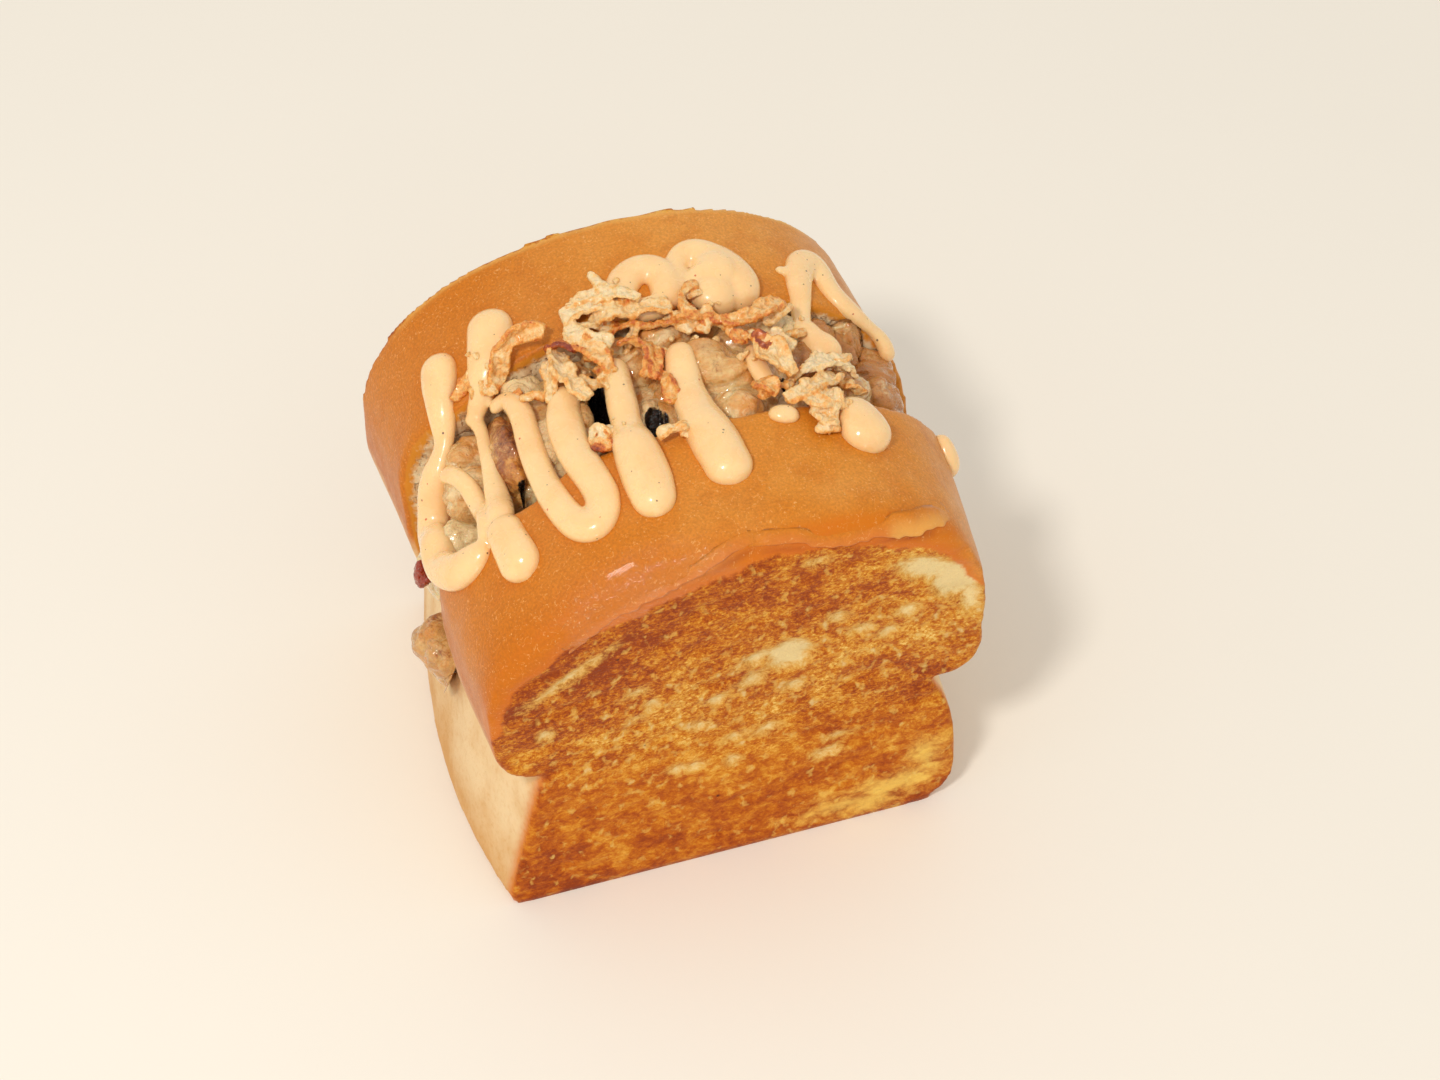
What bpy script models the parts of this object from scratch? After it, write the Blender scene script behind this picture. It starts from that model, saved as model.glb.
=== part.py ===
"""Grilled chicken brioche sandwich, in metres, with X to the right, Y to the back and Z up.

A thick slice of brioche loaf stands on its flat pan bottom. A slit runs through it from the left
end to the right end, parallel to the two cut faces, and holds chunks of grilled chicken, crispy
onion strips and a zigzag of sauce. The origin is on the bottom, half way between the ends.
"""

import math
from collections import namedtuple

import bmesh
import bpy
import numpy as np
from mathutils import Euler, Matrix, Vector, noise

MM = 0.001
QUARTER_TURN = math.radians(90.0)
OBJECT = "grilled_chicken_brioche_sandwich"
BREAD = "brioche"
FILLING = "chicken_filling"

# Loaf slice: depths of its cut faces and of its widest section, how far the foot of the front face
# stands out and how far the top of the back leans out.
FRONT_Y = -39.3 * MM
WIDEST_Y = -6.0 * MM
BACK_Y = 41.0 * MM
FRONT_FOOT = 1.8 * MM
BACK_LEAN = 5.0 * MM

# Each side of the slice, in mm. Reaches out from the middle are at the front, widest and back
# sections: of the pan-baked base, of the waist and of the cap that mushrooms over it. The swell is
# how fast they change along Y. The wall bends in to the waist by a power. The cap's side is upright
# from lip_z to cap_z; the dome over it is a superellipse. The crust rolls over the front face, this
# deep and by this share of the dome's height.
Side = namedtuple("Side", "sign base waist cap swell corner wall_power lip_z cap_z dome_front "
                  "dome_back roll_depth roll_share")
LEFT = Side(-1, (47.5, 52.2, 44.5), (38.5, 44, 42), (48.6, 49.8, 52.7), 2, 3, 1.2, 52, 57, 2, 2.1,
            13, 0.42)
RIGHT = Side(1, (44.8, 47, 44), (38.5, 43, 39), (49, 52.6, 49), 1.3, 9, 4, 46, 54, 2.6, 2.25, 5, 0.09)
WAIST_Z = 37.0 * MM
LIP_POWER = 2.4
CROWN_FRONT_Z, CROWN_BACK_Z = 91.0 * MM, 93.6 * MM
ROLL_STEPS, DEPTH_STEPS = 6, 10
CORNER_STEPS, WALL_STEPS, LIP_STEPS, DOME_STEPS = 3, 5, 4, 9

# Slit. It opens from a narrow root to the top of the crust, more to the back than to the front.
SLIT_ROOT_Y = 2.0 * MM
SLIT_ROOT_Z = 21.0 * MM
SLIT_TOP_Z = 92.0 * MM
SLIT_FRONT_SPREAD = 11.5 * MM
SLIT_BACK_SPREAD = 18.0 * MM
SLIT_POWER = 0.75
SLIT_REACH = 1.5
SLIT_STEPS = 9
SLIT_HALF_LENGTH = 70.0 * MM

# The bread and the filling stay this far apart; the heap's bare core stays further in.
GAP = 0.3 * MM
CORE_GAP = 0.9 * MM
CORE_END_GAP = 2.0 * MM
CORE_ROOT_GAP = 2.5 * MM
CORE_ARCH = 2.0 * MM
CORE_TILT = 6.0 * MM
CORE_STATIONS = 20
CORE_TOP_STEPS = 5

# Height of the core along X, both in mm.
HEAP = ((-49, 54), (-44, 64), (-38, 72), (-28, 81), (-15, 85), (0, 86), (12, 87), (24, 84), (34, 78),
        (41, 70), (46, 60), (49, 50))
SAUCE_OVER_CORE = 5.5 * MM

# Chicken chunks: where they lie in plan, their height over the core, their half sizes and their
# turn about Z, in mm and degrees. The first two poke out of the slit's left end.
Chunk = namedtuple("Chunk", "x y rise half_x half_y half_z turn")
CHUNKS = (
    Chunk(-48, 1, -20, 6.5, 6, 9, 10),
    Chunk(-48.5, 0, 6, 3.6, 3.4, 4, 0),
    Chunk(-43.5, -1, 0, 6, 6.5, 6.5, 25),
    Chunk(-39, 7, 0.5, 8, 6.5, 6.5, -20),
    Chunk(-31, 3, 1.5, 8, 7.5, 7.5, 35),
    Chunk(-21.5, 2, 0, 7, 8, 6.5, -15),
    Chunk(-24, 13.5, 2, 5.5, 5, 5, 0),
    Chunk(-15.5, 9, 1, 6.5, 7.5, 6.5, 20),
    Chunk(-13, 0, 0.5, 6.5, 6.5, 6, 40),
    Chunk(-6, 4, -0.5, 7.5, 7, 6.5, -30),
    Chunk(-3.5, 12.5, 1.5, 6.5, 6, 6, 10),
    Chunk(7, 7, 1.5, 9.5, 8.5, 8.5, 15),
    Chunk(16, 1, -1, 7, 6.5, 6, 50),
    Chunk(15.5, 13, 1.5, 6, 5.5, 6, -40),
    Chunk(23.5, 7.5, 1, 8, 7.5, 7, -25),
    Chunk(29, 13, 1.5, 6.5, 6, 6.5, 15),
    Chunk(32, 4, 0, 7.5, 7, 6.5, 30),
    Chunk(39, 9.5, 2, 6.5, 7, 7.5, -10),
)
CHUNK_SUBDIVISIONS = 3
CHUNK_LUMPS, CHUNK_LUMP_SCALE = 0.3, 1.3
CHUNK_CRAGS, CHUNK_CRAG_SCALE = 0.1, 3.4
CHUNK_SEED_STEP = 7.3

# Sauce strands from above: points (x, y) with the bead's half width there, in mm.
STRANDS = {
    "left_tongue": ((-38, 31, 3.7), (-39.5, 26.5, 3.8), (-41, 21, 3.4), (-42, 16, 2.2),
                    (-44, 12.5, 2.6)),
    "left_hook": ((-43, 14, 2.2), (-46, 10.5, 2.6), (-48, 6, 2.6), (-49, 0, 2.7), (-48.5, -8, 3),
                  (-46.5, -13, 3.3), (-44, -14.5, 3.2), (-41.5, -12.5, 2.8)),
    "left_branch": ((-44, 10, 1.8), (-40.5, 3, 1.5), (-39.5, -3, 1.5), (-39.5, -12, 2.2)),
    "curl_tongue": ((-26.5, 34.5, 4.2), (-28.5, 28, 4.3), (-31, 22, 4), (-33, 18.5, 3.4),
                    (-36, 14, 2)),
    "thin_thread": ((-35, 16, 1.8), (-35.5, 9.5, 1.4), (-36, 2, 1.3), (-38, -12, 2)),
    "short_tongue": ((-38.5, -11, 3.2), (-37, -17, 4), (-37, -23, 4.1), (-37.5, -28, 4)),
    "u_turn": ((-28.5, 15, 1.8), (-28, 8.5, 2.4), (-28, 0, 2.6), (-28, -10, 3), (-27.5, -18, 3.3),
               (-26, -24, 3.8), (-22.5, -25.5, 3.9), (-19.5, -22, 3.8), (-19.3, -15.5, 3.6),
               (-19.5, -7.5, 3.4), (-20, 0.5, 3), (-19.5, 8.5, 2.8), (-18.8, 15, 2.4)),
    "centre_tongue": ((-9.5, 17, 2.6), (-9, 9, 3.2), (-10.5, -1.5, 3.4), (-11.5, -10.5, 3.6),
                      (-12, -19, 3.9), (-13.3, -30, 4)),
    "right_tongue": ((3, 9.5, 3.4), (2, 0.5, 3.9), (1.5, -7.5, 4), (1.5, -16.5, 4.1), (3.2, -28, 4.2)),
    "left_arch": ((-6.5, 23, 2.8), (-2.8, 28.8, 2.7), (2, 30.5, 2.8), (5, 27, 2.7), (4.8, 20, 3.2)),
    "right_arch": ((6, 21, 3), (8.5, 28.5, 2.8), (12.5, 32.5, 3.2), (17, 28.5, 4), (19.5, 23, 4),
                   (20, 17.5, 3.4)),
    "arch_pool": ((5.5, 22, 3.2), (11, 22, 3.4), (15, 24.5, 4.6), (17, 18.5, 4)),
    "far_arch": ((27, 10, 2.8), (29, 18, 2.8), (30.5, 24, 3.2), (34, 28.5, 3.4), (38, 29, 3.3),
                 (41, 25.5, 3), (42.5, 21, 2.6), (44.5, 17, 2.6), (46, 12.5, 2.6)),
    "far_drip": ((28, 13.5, 2.8), (30, 9, 3.2), (32.5, 5.5, 3.4), (33.7, 1.5, 3.2)),
    "oval_drop": ((32.6, -8.5, 5), (31, -16, 5.2), (29.5, -24.5, 5)),
    "edge_drop": ((13, -10.5, 1.9), (20.5, -12, 2)),
    "shoulder_drop": ((49.8, -5.5, 2.4), (50.5, -13.5, 2.6)),
    "short_thread": ((17, 12, 1.8), (15.3, -3, 1.8)),
}
STRAND_STEP = 2.4 * MM
STRAND_SINK = 0.4 * MM
STRAND_SMOOTHING = 3
STRAND_END_SHARE = 0.3
ROUTE_SAMPLES = 12
LEAST_ROUTE_STEPS = 3
TUBE_SIDES_SETTING = 2
CAP_WELD = 0.001 * MM

# Crispy onion strips: where they lie in plan, their rise over the sauce's level, length, width,
# heading and curl along them and roll about their own axis, in mm and degrees.
Strip = namedtuple("Strip", "x y rise length width heading curl roll")
STRIPS = (
    Strip(-25.5, 16, 4, 22, 3.2, 60, 230, 15),
    Strip(-2.5, 21, 1.5, 25, 3.4, -8, 25, 20),
    Strip(-7, 25.5, 2.5, 14, 3.6, 155, -60, 15),
    Strip(1.5, 16, 3.5, 19, 3, -25, 40, -30),
    Strip(-12.5, 14, 2.5, 14, 3.8, 118, 50, 25),
    Strip(-4, 7, 2, 11, 2.6, 92, 80, 40),
    Strip(17, 14.5, 2.5, 17, 3.2, 9, -50, 20),
    Strip(19.5, 0, 3, 15, 4, -73, 35, 20),
    Strip(28, -1, 3, 18, 3.2, 30, 30, -25),
    Strip(22.5, -6, 2.5, 14, 3.2, 31, -45, 10),
    Strip(-5, -9.5, 1.5, 9, 2.6, 10, 100, 30),
    Strip(-17.5, 16, 2, 7, 3, 10, 20, 0),
    Strip(8.3, 18.5, 5, 8, 2.6, 70, 40, 15),
    Strip(13, 8, 3, 12, 3, 50, 60, -20),
    Strip(26, -11, 1.5, 9, 4, -80, 60, 30),
)
STRIP_THICKNESS = 1.1 * MM
STRIP_TAPER = 0.5
STRIP_STEPS = 7

CHICKEN_TAN = (0.62, 0.38, 0.18, 1.0)
CRUST_BROWN = (0.63, 0.25, 0.06, 1.0)
CHICKEN_ROUGHNESS, CRUST_ROUGHNESS = 0.45, 0.35
SMOOTH_ANGLE = math.radians(40.0)


def clear_scene():
    """Removes every object that a new file starts with."""
    for obj in list(bpy.data.objects):
        bpy.data.objects.remove(obj)


def new_collection(name):
    """A new collection in the scene."""
    made = bpy.data.collections.new(name)
    bpy.context.scene.collection.children.link(made)
    return made


def new_object(name, mesh, collection):
    """An object for a mesh, in a collection."""
    made = bpy.data.objects.new(name, mesh)
    collection.objects.link(made)
    return made


def principled(name, colour, roughness):
    """A plain non-metallic material."""
    made = bpy.data.materials.new(name)
    made.use_nodes = True
    shader = made.node_tree.nodes["Principled BSDF"]
    shader.inputs["Base Color"].default_value = colour
    shader.inputs["Roughness"].default_value = roughness
    shader.inputs["Metallic"].default_value = 0.0
    return made


def between(low, high, share):
    """The value this share of the way from low to high."""
    return low + (high - low) * share


def reach(side, part, y):
    """How far a part of the side (base, waist or cap) reaches out at depth y."""
    front, widest, back = getattr(side, part)
    end, end_y = (front, FRONT_Y) if y < WIDEST_Y else (back, BACK_Y)
    return between(widest, end, ((y - WIDEST_Y) / (end_y - WIDEST_Y)) ** side.swell) * MM


def along_depth(y):
    """0 at the front cut face, 1 at the back one."""
    return (y - FRONT_Y) / (BACK_Y - FRONT_Y)


def rightness(x):
    """0 at the left end, 1 at the right end."""
    return min(max(0.5 + 0.5 * x / reach(RIGHT, "cap", WIDEST_Y), 0.0), 1.0)


def roll_keep(x, y):
    """The share of its height that the dome keeps where the crust rolls over the front face."""
    depth = between(LEFT.roll_depth, RIGHT.roll_depth, rightness(x)) * MM
    into = min(max(1.0 - (y - FRONT_Y) / depth, 0.0), 1.0)
    fall = 1.0 - math.sqrt(1.0 - into ** 2)
    return 1.0 - fall * between(LEFT.roll_share, RIGHT.roll_share, rightness(x))


def dome_power(side, y):
    """The superellipse's power at depth y."""
    return between(side.dome_front, side.dome_back, along_depth(y))


def crust_height(x, y):
    """Height of the domed top crust over a point of the plan, before the back leans."""
    side = LEFT if x < 0 else RIGHT
    power = dome_power(side, y)
    share = min(abs(x) / reach(side, "cap", y), 1.0)
    shape = (1.0 - share ** power) ** (1.0 / power)
    crown = between(CROWN_FRONT_Z, CROWN_BACK_Z, along_depth(y))
    return between(side.cap_z * MM, crown, shape * roll_keep(x, y))


def side_half(side, y, z):
    """Half width of the slice below the widest part of its cap."""
    waist = reach(side, "waist", y)
    if z <= WAIST_Z:
        return between(reach(side, "base", y), waist, (z / WAIST_Z) ** side.wall_power)
    up = min((z - WAIST_Z) / (side.lip_z * MM - WAIST_Z), 1.0)
    out = (1.0 - (1.0 - up) ** LIP_POWER) ** (1.0 / LIP_POWER)
    return between(waist, reach(side, "cap", y), out)


def side_outline(side, y):
    """The slice's outline at depth y from its bottom to its ridge, on one side."""
    corner = side.corner * MM
    points = []
    for step in range(CORNER_STEPS):
        angle = QUARTER_TURN * step / CORNER_STEPS
        z = corner * (1.0 - math.cos(angle))
        points.append((side_half(side, y, z) - corner * (1.0 - math.sin(angle)), z))
    for step in range(WALL_STEPS + 1):
        z = between(corner, WAIST_Z, math.sin(QUARTER_TURN * step / WALL_STEPS))
        points.append((side_half(side, y, z), z))
    for step in range(1, LIP_STEPS + 1):
        angle = QUARTER_TURN * step / LIP_STEPS
        z = between(WAIST_Z, side.lip_z * MM, 1.0 - math.cos(angle) ** (2.0 / LIP_POWER))
        points.append((side_half(side, y, z), z))
    power = dome_power(side, y)
    for step in range(DOME_STEPS + 1):
        angle = QUARTER_TURN * step / DOME_STEPS
        x = reach(side, "cap", y) * max(math.cos(angle), 0.0) ** (2.0 / power)
        points.append((x, crust_height(side.sign * x, y)))
    return [(side.sign * x, z) for x, z in points]


def leaned(y, z):
    """Y after the back half leans back, most at its top, and the front foot stands out."""
    foot = FRONT_FOOT * max(y / FRONT_Y, 0.0) * max(1.0 - z / WAIST_Z, 0.0)
    return y + BACK_LEAN * max(y / BACK_Y, 0.0) * z / CROWN_BACK_Z - foot


def loft(name, rings):
    """A closed mesh through rings of equally many points, with flat ends."""
    shape = bmesh.new()
    made = [[shape.verts.new(point) for point in ring] for ring in rings]
    for one, two in zip(made, made[1:]):
        for index in range(len(one)):
            after = (index + 1) % len(one)
            shape.faces.new((one[index], one[after], two[after], two[index]))
    shape.faces.new(made[0])
    shape.faces.new(made[-1])
    bmesh.ops.recalc_face_normals(shape, faces=shape.faces)
    bmesh.ops.triangulate(shape, faces=shape.faces)
    mesh = bpy.data.meshes.new(name)
    shape.to_mesh(mesh)
    shape.free()
    return mesh


def slice_depths():
    """Depths of the loft's sections, close together where the crust rolls over the front."""
    roll_end = FRONT_Y + LEFT.roll_depth * MM
    depths = [between(FRONT_Y, roll_end, (step / ROLL_STEPS) ** 2) for step in range(ROLL_STEPS)]
    depths += [between(roll_end, BACK_Y, step / DEPTH_STEPS) for step in range(DEPTH_STEPS + 1)]
    return depths


def slice_mesh():
    """The whole slice before it is slit."""
    rings = []
    for y in slice_depths():
        right = side_outline(RIGHT, y)
        left = side_outline(LEFT, y)[:-1]
        outline = right + left[::-1]
        rings.append([Vector((x, leaned(y, z), z)) for x, z in outline])
    return loft(BREAD, rings)


def slit_wall(z, side):
    """Y of the slit's front (-1) or back (1) wall at height z."""
    up = max(z - SLIT_ROOT_Z, 0.0) / (SLIT_TOP_Z - SLIT_ROOT_Z)
    spread = SLIT_FRONT_SPREAD if side < 0 else SLIT_BACK_SPREAD
    return SLIT_ROOT_Y + side * spread * up ** SLIT_POWER


def slit_mesh():
    """A wedge with curved walls, longer than the slice and higher than all that lies on it."""
    top = between(SLIT_ROOT_Z, SLIT_TOP_Z, SLIT_REACH)
    heights = [between(SLIT_ROOT_Z, top, (step / SLIT_STEPS) ** 2) for step in range(SLIT_STEPS + 1)]
    outline = [(slit_wall(z, -1), z) for z in heights]
    outline += [(slit_wall(z, 1), z) for z in heights[:0:-1]]
    ends = (-SLIT_HALF_LENGTH, SLIT_HALF_LENGTH)
    return loft("slit", [[Vector((x, y, z)) for y, z in outline] for x in ends])


def core_height(x):
    """Height of the heap's bare core over a point along X."""
    along, heights = zip(*HEAP)
    return float(np.interp(x / MM, along, heights)) * MM


def core_mesh():
    """The heap's core. It fills the slit from end to end, a little inside its walls."""
    rings = []
    bottom = SLIT_ROOT_Z + CORE_ROOT_GAP
    for station in range(CORE_STATIONS + 1):
        share = between(-1.0, 1.0, station / CORE_STATIONS)
        side = LEFT if share < 0 else RIGHT
        top = core_height(share * reach(side, "cap", SLIT_ROOT_Y))
        ring = []
        for toward, tilt in ((-1, 0.0), (1, CORE_TILT)):
            heights = [between(bottom, top + tilt, step / SLIT_STEPS) for step in range(SLIT_STEPS + 1)]
            wall = [(slit_wall(z, toward) - toward * CORE_GAP, z) for z in heights]
            ring += wall if toward < 0 else wall[::-1]
        front, back = ring[SLIT_STEPS], ring[SLIT_STEPS + 1]
        arch = []
        for step in range(1, CORE_TOP_STEPS):
            part = step / CORE_TOP_STEPS
            rise = CORE_ARCH * math.sin(math.pi * part) + CORE_TILT * part
            arch.append((between(front[0], back[0], part), top + rise))
        ring[SLIT_STEPS + 1:SLIT_STEPS + 1] = arch
        reaches = [side_half(side, SLIT_ROOT_Y, z) - CORE_END_GAP for _, z in ring]
        rings.append([Vector((share * out, y, z)) for out, (y, z) in zip(reaches, ring)])
    return loft(FILLING, rings)


def chunk_mesh(chunk, number):
    """A rough lump of chicken."""
    shape = bmesh.new()
    bmesh.ops.create_icosphere(shape, subdivisions=CHUNK_SUBDIVISIONS, radius=1.0)
    offset = Vector((number, number * 2, 0.0)) * CHUNK_SEED_STEP
    for vert in shape.verts:
        lumps = CHUNK_LUMPS * noise.noise(vert.co * CHUNK_LUMP_SCALE + offset)
        crags = CHUNK_CRAGS * noise.noise(vert.co * CHUNK_CRAG_SCALE - offset)
        vert.co *= 1.0 + lumps + crags
    size = Vector((chunk.half_x, chunk.half_y, chunk.half_z)) * MM
    x, y = chunk.x * MM, chunk.y * MM
    place = Vector((x, y, core_height(x) + chunk.rise * MM))
    turn = Euler((0.0, 0.0, math.radians(chunk.turn)))
    shape.transform(Matrix.LocRotScale(place, turn, size))
    mesh = bpy.data.meshes.new("chunk")
    shape.to_mesh(mesh)
    shape.free()
    return mesh


def upright(y, z):
    """The depth before the back half leans back, for a point at depth y and height z."""
    return y / (1.0 + BACK_LEAN / BACK_Y * z / CROWN_BACK_Z) if y > 0 else y


def sauce_level(x, y):
    """The height at which sauce lies: the crust, or the heap's pieces where the slit is open."""
    crust = crust_height(x, upright(y, CROWN_BACK_Z))
    if slit_wall(crust, -1) < y < slit_wall(crust, 1):
        return min(core_height(x) + SAUCE_OVER_CORE, crust)
    return crust


def smooth_route(points, step):
    """Points along a smooth curve through the given ones, evenly spaced (Catmull-Rom)."""
    points = [2 * points[0] - points[1], *points, 2 * points[-1] - points[-2]]
    fine = []
    for p0, p1, p2, p3 in zip(points, points[1:], points[2:], points[3:]):
        for t in np.linspace(0.0, 1.0, ROUTE_SAMPLES, endpoint=False):
            bend = (2 * p0 - 5 * p1 + 4 * p2 - p3) * t + (3 * (p1 - p2) + p3 - p0) * t * t
            fine.append(p1 + 0.5 * t * (p2 - p0 + bend))
    fine.append(points[-2])
    fine = np.array(fine)
    runs = np.linalg.norm(np.diff(fine[:, :2], axis=0), axis=1)
    along = np.concatenate([[0.0], np.cumsum(runs)])
    count = max(int(along[-1] / step), LEAST_ROUTE_STEPS)
    wanted = np.linspace(0.0, along[-1], count + 1)
    return np.stack([np.interp(wanted, along, fine[:, k]) for k in range(fine.shape[1])], 1), wanted


def strand_route(points):
    """(place, radius) along a strand: it follows what it lies on and has round ends."""
    route, along = smooth_route([np.array(point) * MM for point in points], STRAND_STEP)
    levels = np.array([sauce_level(x, y) for x, y, _ in route])
    for _ in range(STRAND_SMOOTHING):
        padded = np.concatenate([levels[:1], levels, levels[-1:]])
        levels = (padded[:-2] + 2 * padded[1:-1] + padded[2:]) / 4
    found = []
    for (x, y, radius), level, at in zip(route, levels, along):
        inside = min(at, along[-1] - at) / radius
        close = math.sqrt(max(1.0 - (1.0 - min(inside, 1.0)) ** 2, 0.0))
        place = Vector((x, y, level - STRAND_SINK))
        found.append((place, radius * max(close, STRAND_END_SHARE)))
    return found


def tube_mesh(name, route):
    """A closed tube through (place, radius) pairs, made from a curve with filled ends."""
    curve = bpy.data.curves.new(name, "CURVE")
    curve.dimensions = "3D"
    curve.bevel_depth = MM
    curve.bevel_resolution = TUBE_SIDES_SETTING
    curve.use_fill_caps = True
    spline = curve.splines.new("POLY")
    spline.points.add(len(route) - 1)
    for point, (place, radius) in zip(spline.points, route):
        point.co = (*place, 1.0)
        point.radius = radius / MM
    made = bpy.data.objects.new(name, curve)
    bpy.context.scene.collection.objects.link(made)
    bpy.context.view_layer.update()
    graph = bpy.context.evaluated_depsgraph_get()
    mesh = bpy.data.meshes.new_from_object(made.evaluated_get(graph))
    shape = bmesh.new()
    shape.from_mesh(mesh)
    bmesh.ops.remove_doubles(shape, verts=shape.verts, dist=CAP_WELD)
    bmesh.ops.recalc_face_normals(shape, faces=shape.faces)
    shape.transform(made.matrix_world)
    shape.to_mesh(mesh)
    shape.free()
    bpy.data.objects.remove(made)
    return mesh


def strip_mesh(strip):
    """A thin onion strip, curled along its length into an arc that stands half over its place."""
    rings = []
    curl = math.radians(strip.curl)
    bend = strip.length * MM / curl
    lower = bend * math.cos(curl / 4)
    width = strip.width * MM / 2
    for step in range(STRIP_STEPS + 1):
        share = step / STRIP_STEPS - 0.5
        angle = curl * share
        centre = Vector((bend * math.sin(angle), 0.0, bend * math.cos(angle) - lower))
        out = Vector((math.sin(angle), 0.0, math.cos(angle)))
        half = width * (1.0 - STRIP_TAPER * (2 * share) ** 2)
        corners = ((-half, -1), (half, -1), (half, 1), (-half, 1))
        ring = [centre + Vector((0.0, w, 0.0)) + out * t * STRIP_THICKNESS / 2 for w, t in corners]
        rings.append(ring)
    mesh = loft("strip", rings)
    x, y = strip.x * MM, strip.y * MM
    place = Vector((x, y, sauce_level(x, y) + strip.rise * MM))
    turn = Euler((math.radians(strip.roll), 0.0, math.radians(strip.heading)))
    mesh.transform(Matrix.LocRotScale(place, turn, None))
    return mesh


def apply_boolean(target, operation, tool, solver="EXACT"):
    """Joins or cuts the target with a tool (an object, or a collection of them) and removes that."""
    step = target.modifiers.new("boolean", "BOOLEAN")
    step.operation = operation
    step.solver = solver
    if isinstance(tool, bpy.types.Collection):
        step.operand_type = "COLLECTION"
        step.collection = tool
        used = list(tool.objects)
    else:
        step.object = tool
        used = [tool]
    bpy.context.view_layer.update()
    graph = bpy.context.evaluated_depsgraph_get()
    mesh = bpy.data.meshes.new_from_object(target.evaluated_get(graph))
    target.modifiers.remove(step)
    target.data = mesh
    for obj in used:
        bpy.data.objects.remove(obj)
    if isinstance(tool, bpy.types.Collection):
        bpy.data.collections.remove(tool)


def keep_largest_body(obj):
    """Drops the scraps that a cut leaves loose."""
    shape = bmesh.new()
    shape.from_mesh(obj.data)
    waiting = set(shape.verts)
    bodies = []
    while waiting:
        body = {waiting.pop()}
        edge = list(body)
        while edge:
            vert = edge.pop()
            for link in vert.link_edges:
                other = link.other_vert(vert)
                if other in waiting:
                    waiting.discard(other)
                    body.add(other)
                    edge.append(other)
        bodies.append(body)
    largest = max(bodies, key=len)
    loose = [vert for vert in shape.verts if vert not in largest]
    bmesh.ops.delete(shape, geom=loose, context="VERTS")
    shape.to_mesh(obj.data)
    shape.free()


def finish(obj, material):
    """Gives a finished body its one material and its smooth shading."""
    obj.data.materials.clear()
    obj.data.materials.append(material)
    obj.data.shade_smooth()
    obj.data.set_sharp_from_angle(angle=SMOOTH_ANGLE)


def inflated_copy(obj, by, collection):
    """A copy of an object, larger all round."""
    made = new_object(obj.name + "_clearance", obj.data.copy(), collection)
    made.display_type = "WIRE"
    made.hide_render = True
    shape = bmesh.new()
    shape.from_mesh(made.data)
    shape.normal_update()
    moved = [(vert, vert.co + vert.normal * by * vert.calc_shell_factor()) for vert in shape.verts]
    for vert, place in moved:
        vert.co = place
    shape.to_mesh(made.data)
    shape.free()
    return made


def add_strands(collection):
    """One tube for each sauce strand."""
    for name, points in STRANDS.items():
        new_object(name, tube_mesh(name, strand_route(points)), collection)


def build_bread(parts, cutters):
    """The slit slice, with the sauce that lies on its crust."""
    bread = new_object(BREAD, slice_mesh(), parts)
    sauce = new_collection("sauce_on_bread")
    add_strands(sauce)
    apply_boolean(bread, "UNION", sauce)
    slit = new_object("slit", slit_mesh(), cutters)
    slit.display_type = "WIRE"
    slit.hide_render = True
    apply_boolean(bread, "DIFFERENCE", slit)
    keep_largest_body(bread)
    finish(bread, principled(BREAD, CRUST_BROWN, CRUST_ROUGHNESS))
    return bread


def build_filling(bread, parts, cutters):
    """The heap of chicken, onion and sauce in the slit, clear of the bread."""
    filling = new_object(FILLING, core_mesh(), parts)
    pieces = new_collection("heap_pieces")
    for number, chunk in enumerate(CHUNKS):
        new_object("chunk", chunk_mesh(chunk, number), pieces)
    for strip in STRIPS:
        new_object("strip", strip_mesh(strip), pieces)
    add_strands(pieces)
    apply_boolean(filling, "UNION", pieces)
    clearance = inflated_copy(bread, GAP, cutters)
    apply_boolean(filling, "DIFFERENCE", clearance, "MANIFOLD")
    keep_largest_body(filling)
    finish(filling, principled(FILLING, CHICKEN_TAN, CHICKEN_ROUGHNESS))
    return filling


def main():
    """Builds the sandwich."""
    clear_scene()
    parts = new_collection(OBJECT)
    cutters = new_collection("cutters")
    bread = build_bread(parts, cutters)
    build_filling(bread, parts, cutters)


if __name__ == "__main__":
    main()
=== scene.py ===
"""The looks of a grilled chicken brioche sandwich.

A thick slice of brioche stands on its pan-baked bottom, its front face toasted and its domed
crust glazed. A slit from end to end holds chunks of grilled chicken, crisp onion strips and a
creamy dressing, and a peach-coloured sauce is piped over them in a zigzag. Sizes and places are
in millimetres, with X to the right, Y to the back and Z up, and an array of points has a row for
each; meshes are made in metres.
"""

import logging
import math
from dataclasses import dataclass, field
from enum import Enum
from typing import Any, Iterable, Sequence

import bmesh
import bpy
import numpy as np
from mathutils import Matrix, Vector
from mathutils.bvhtree import BVHTree
from mathutils.kdtree import KDTree


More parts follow.
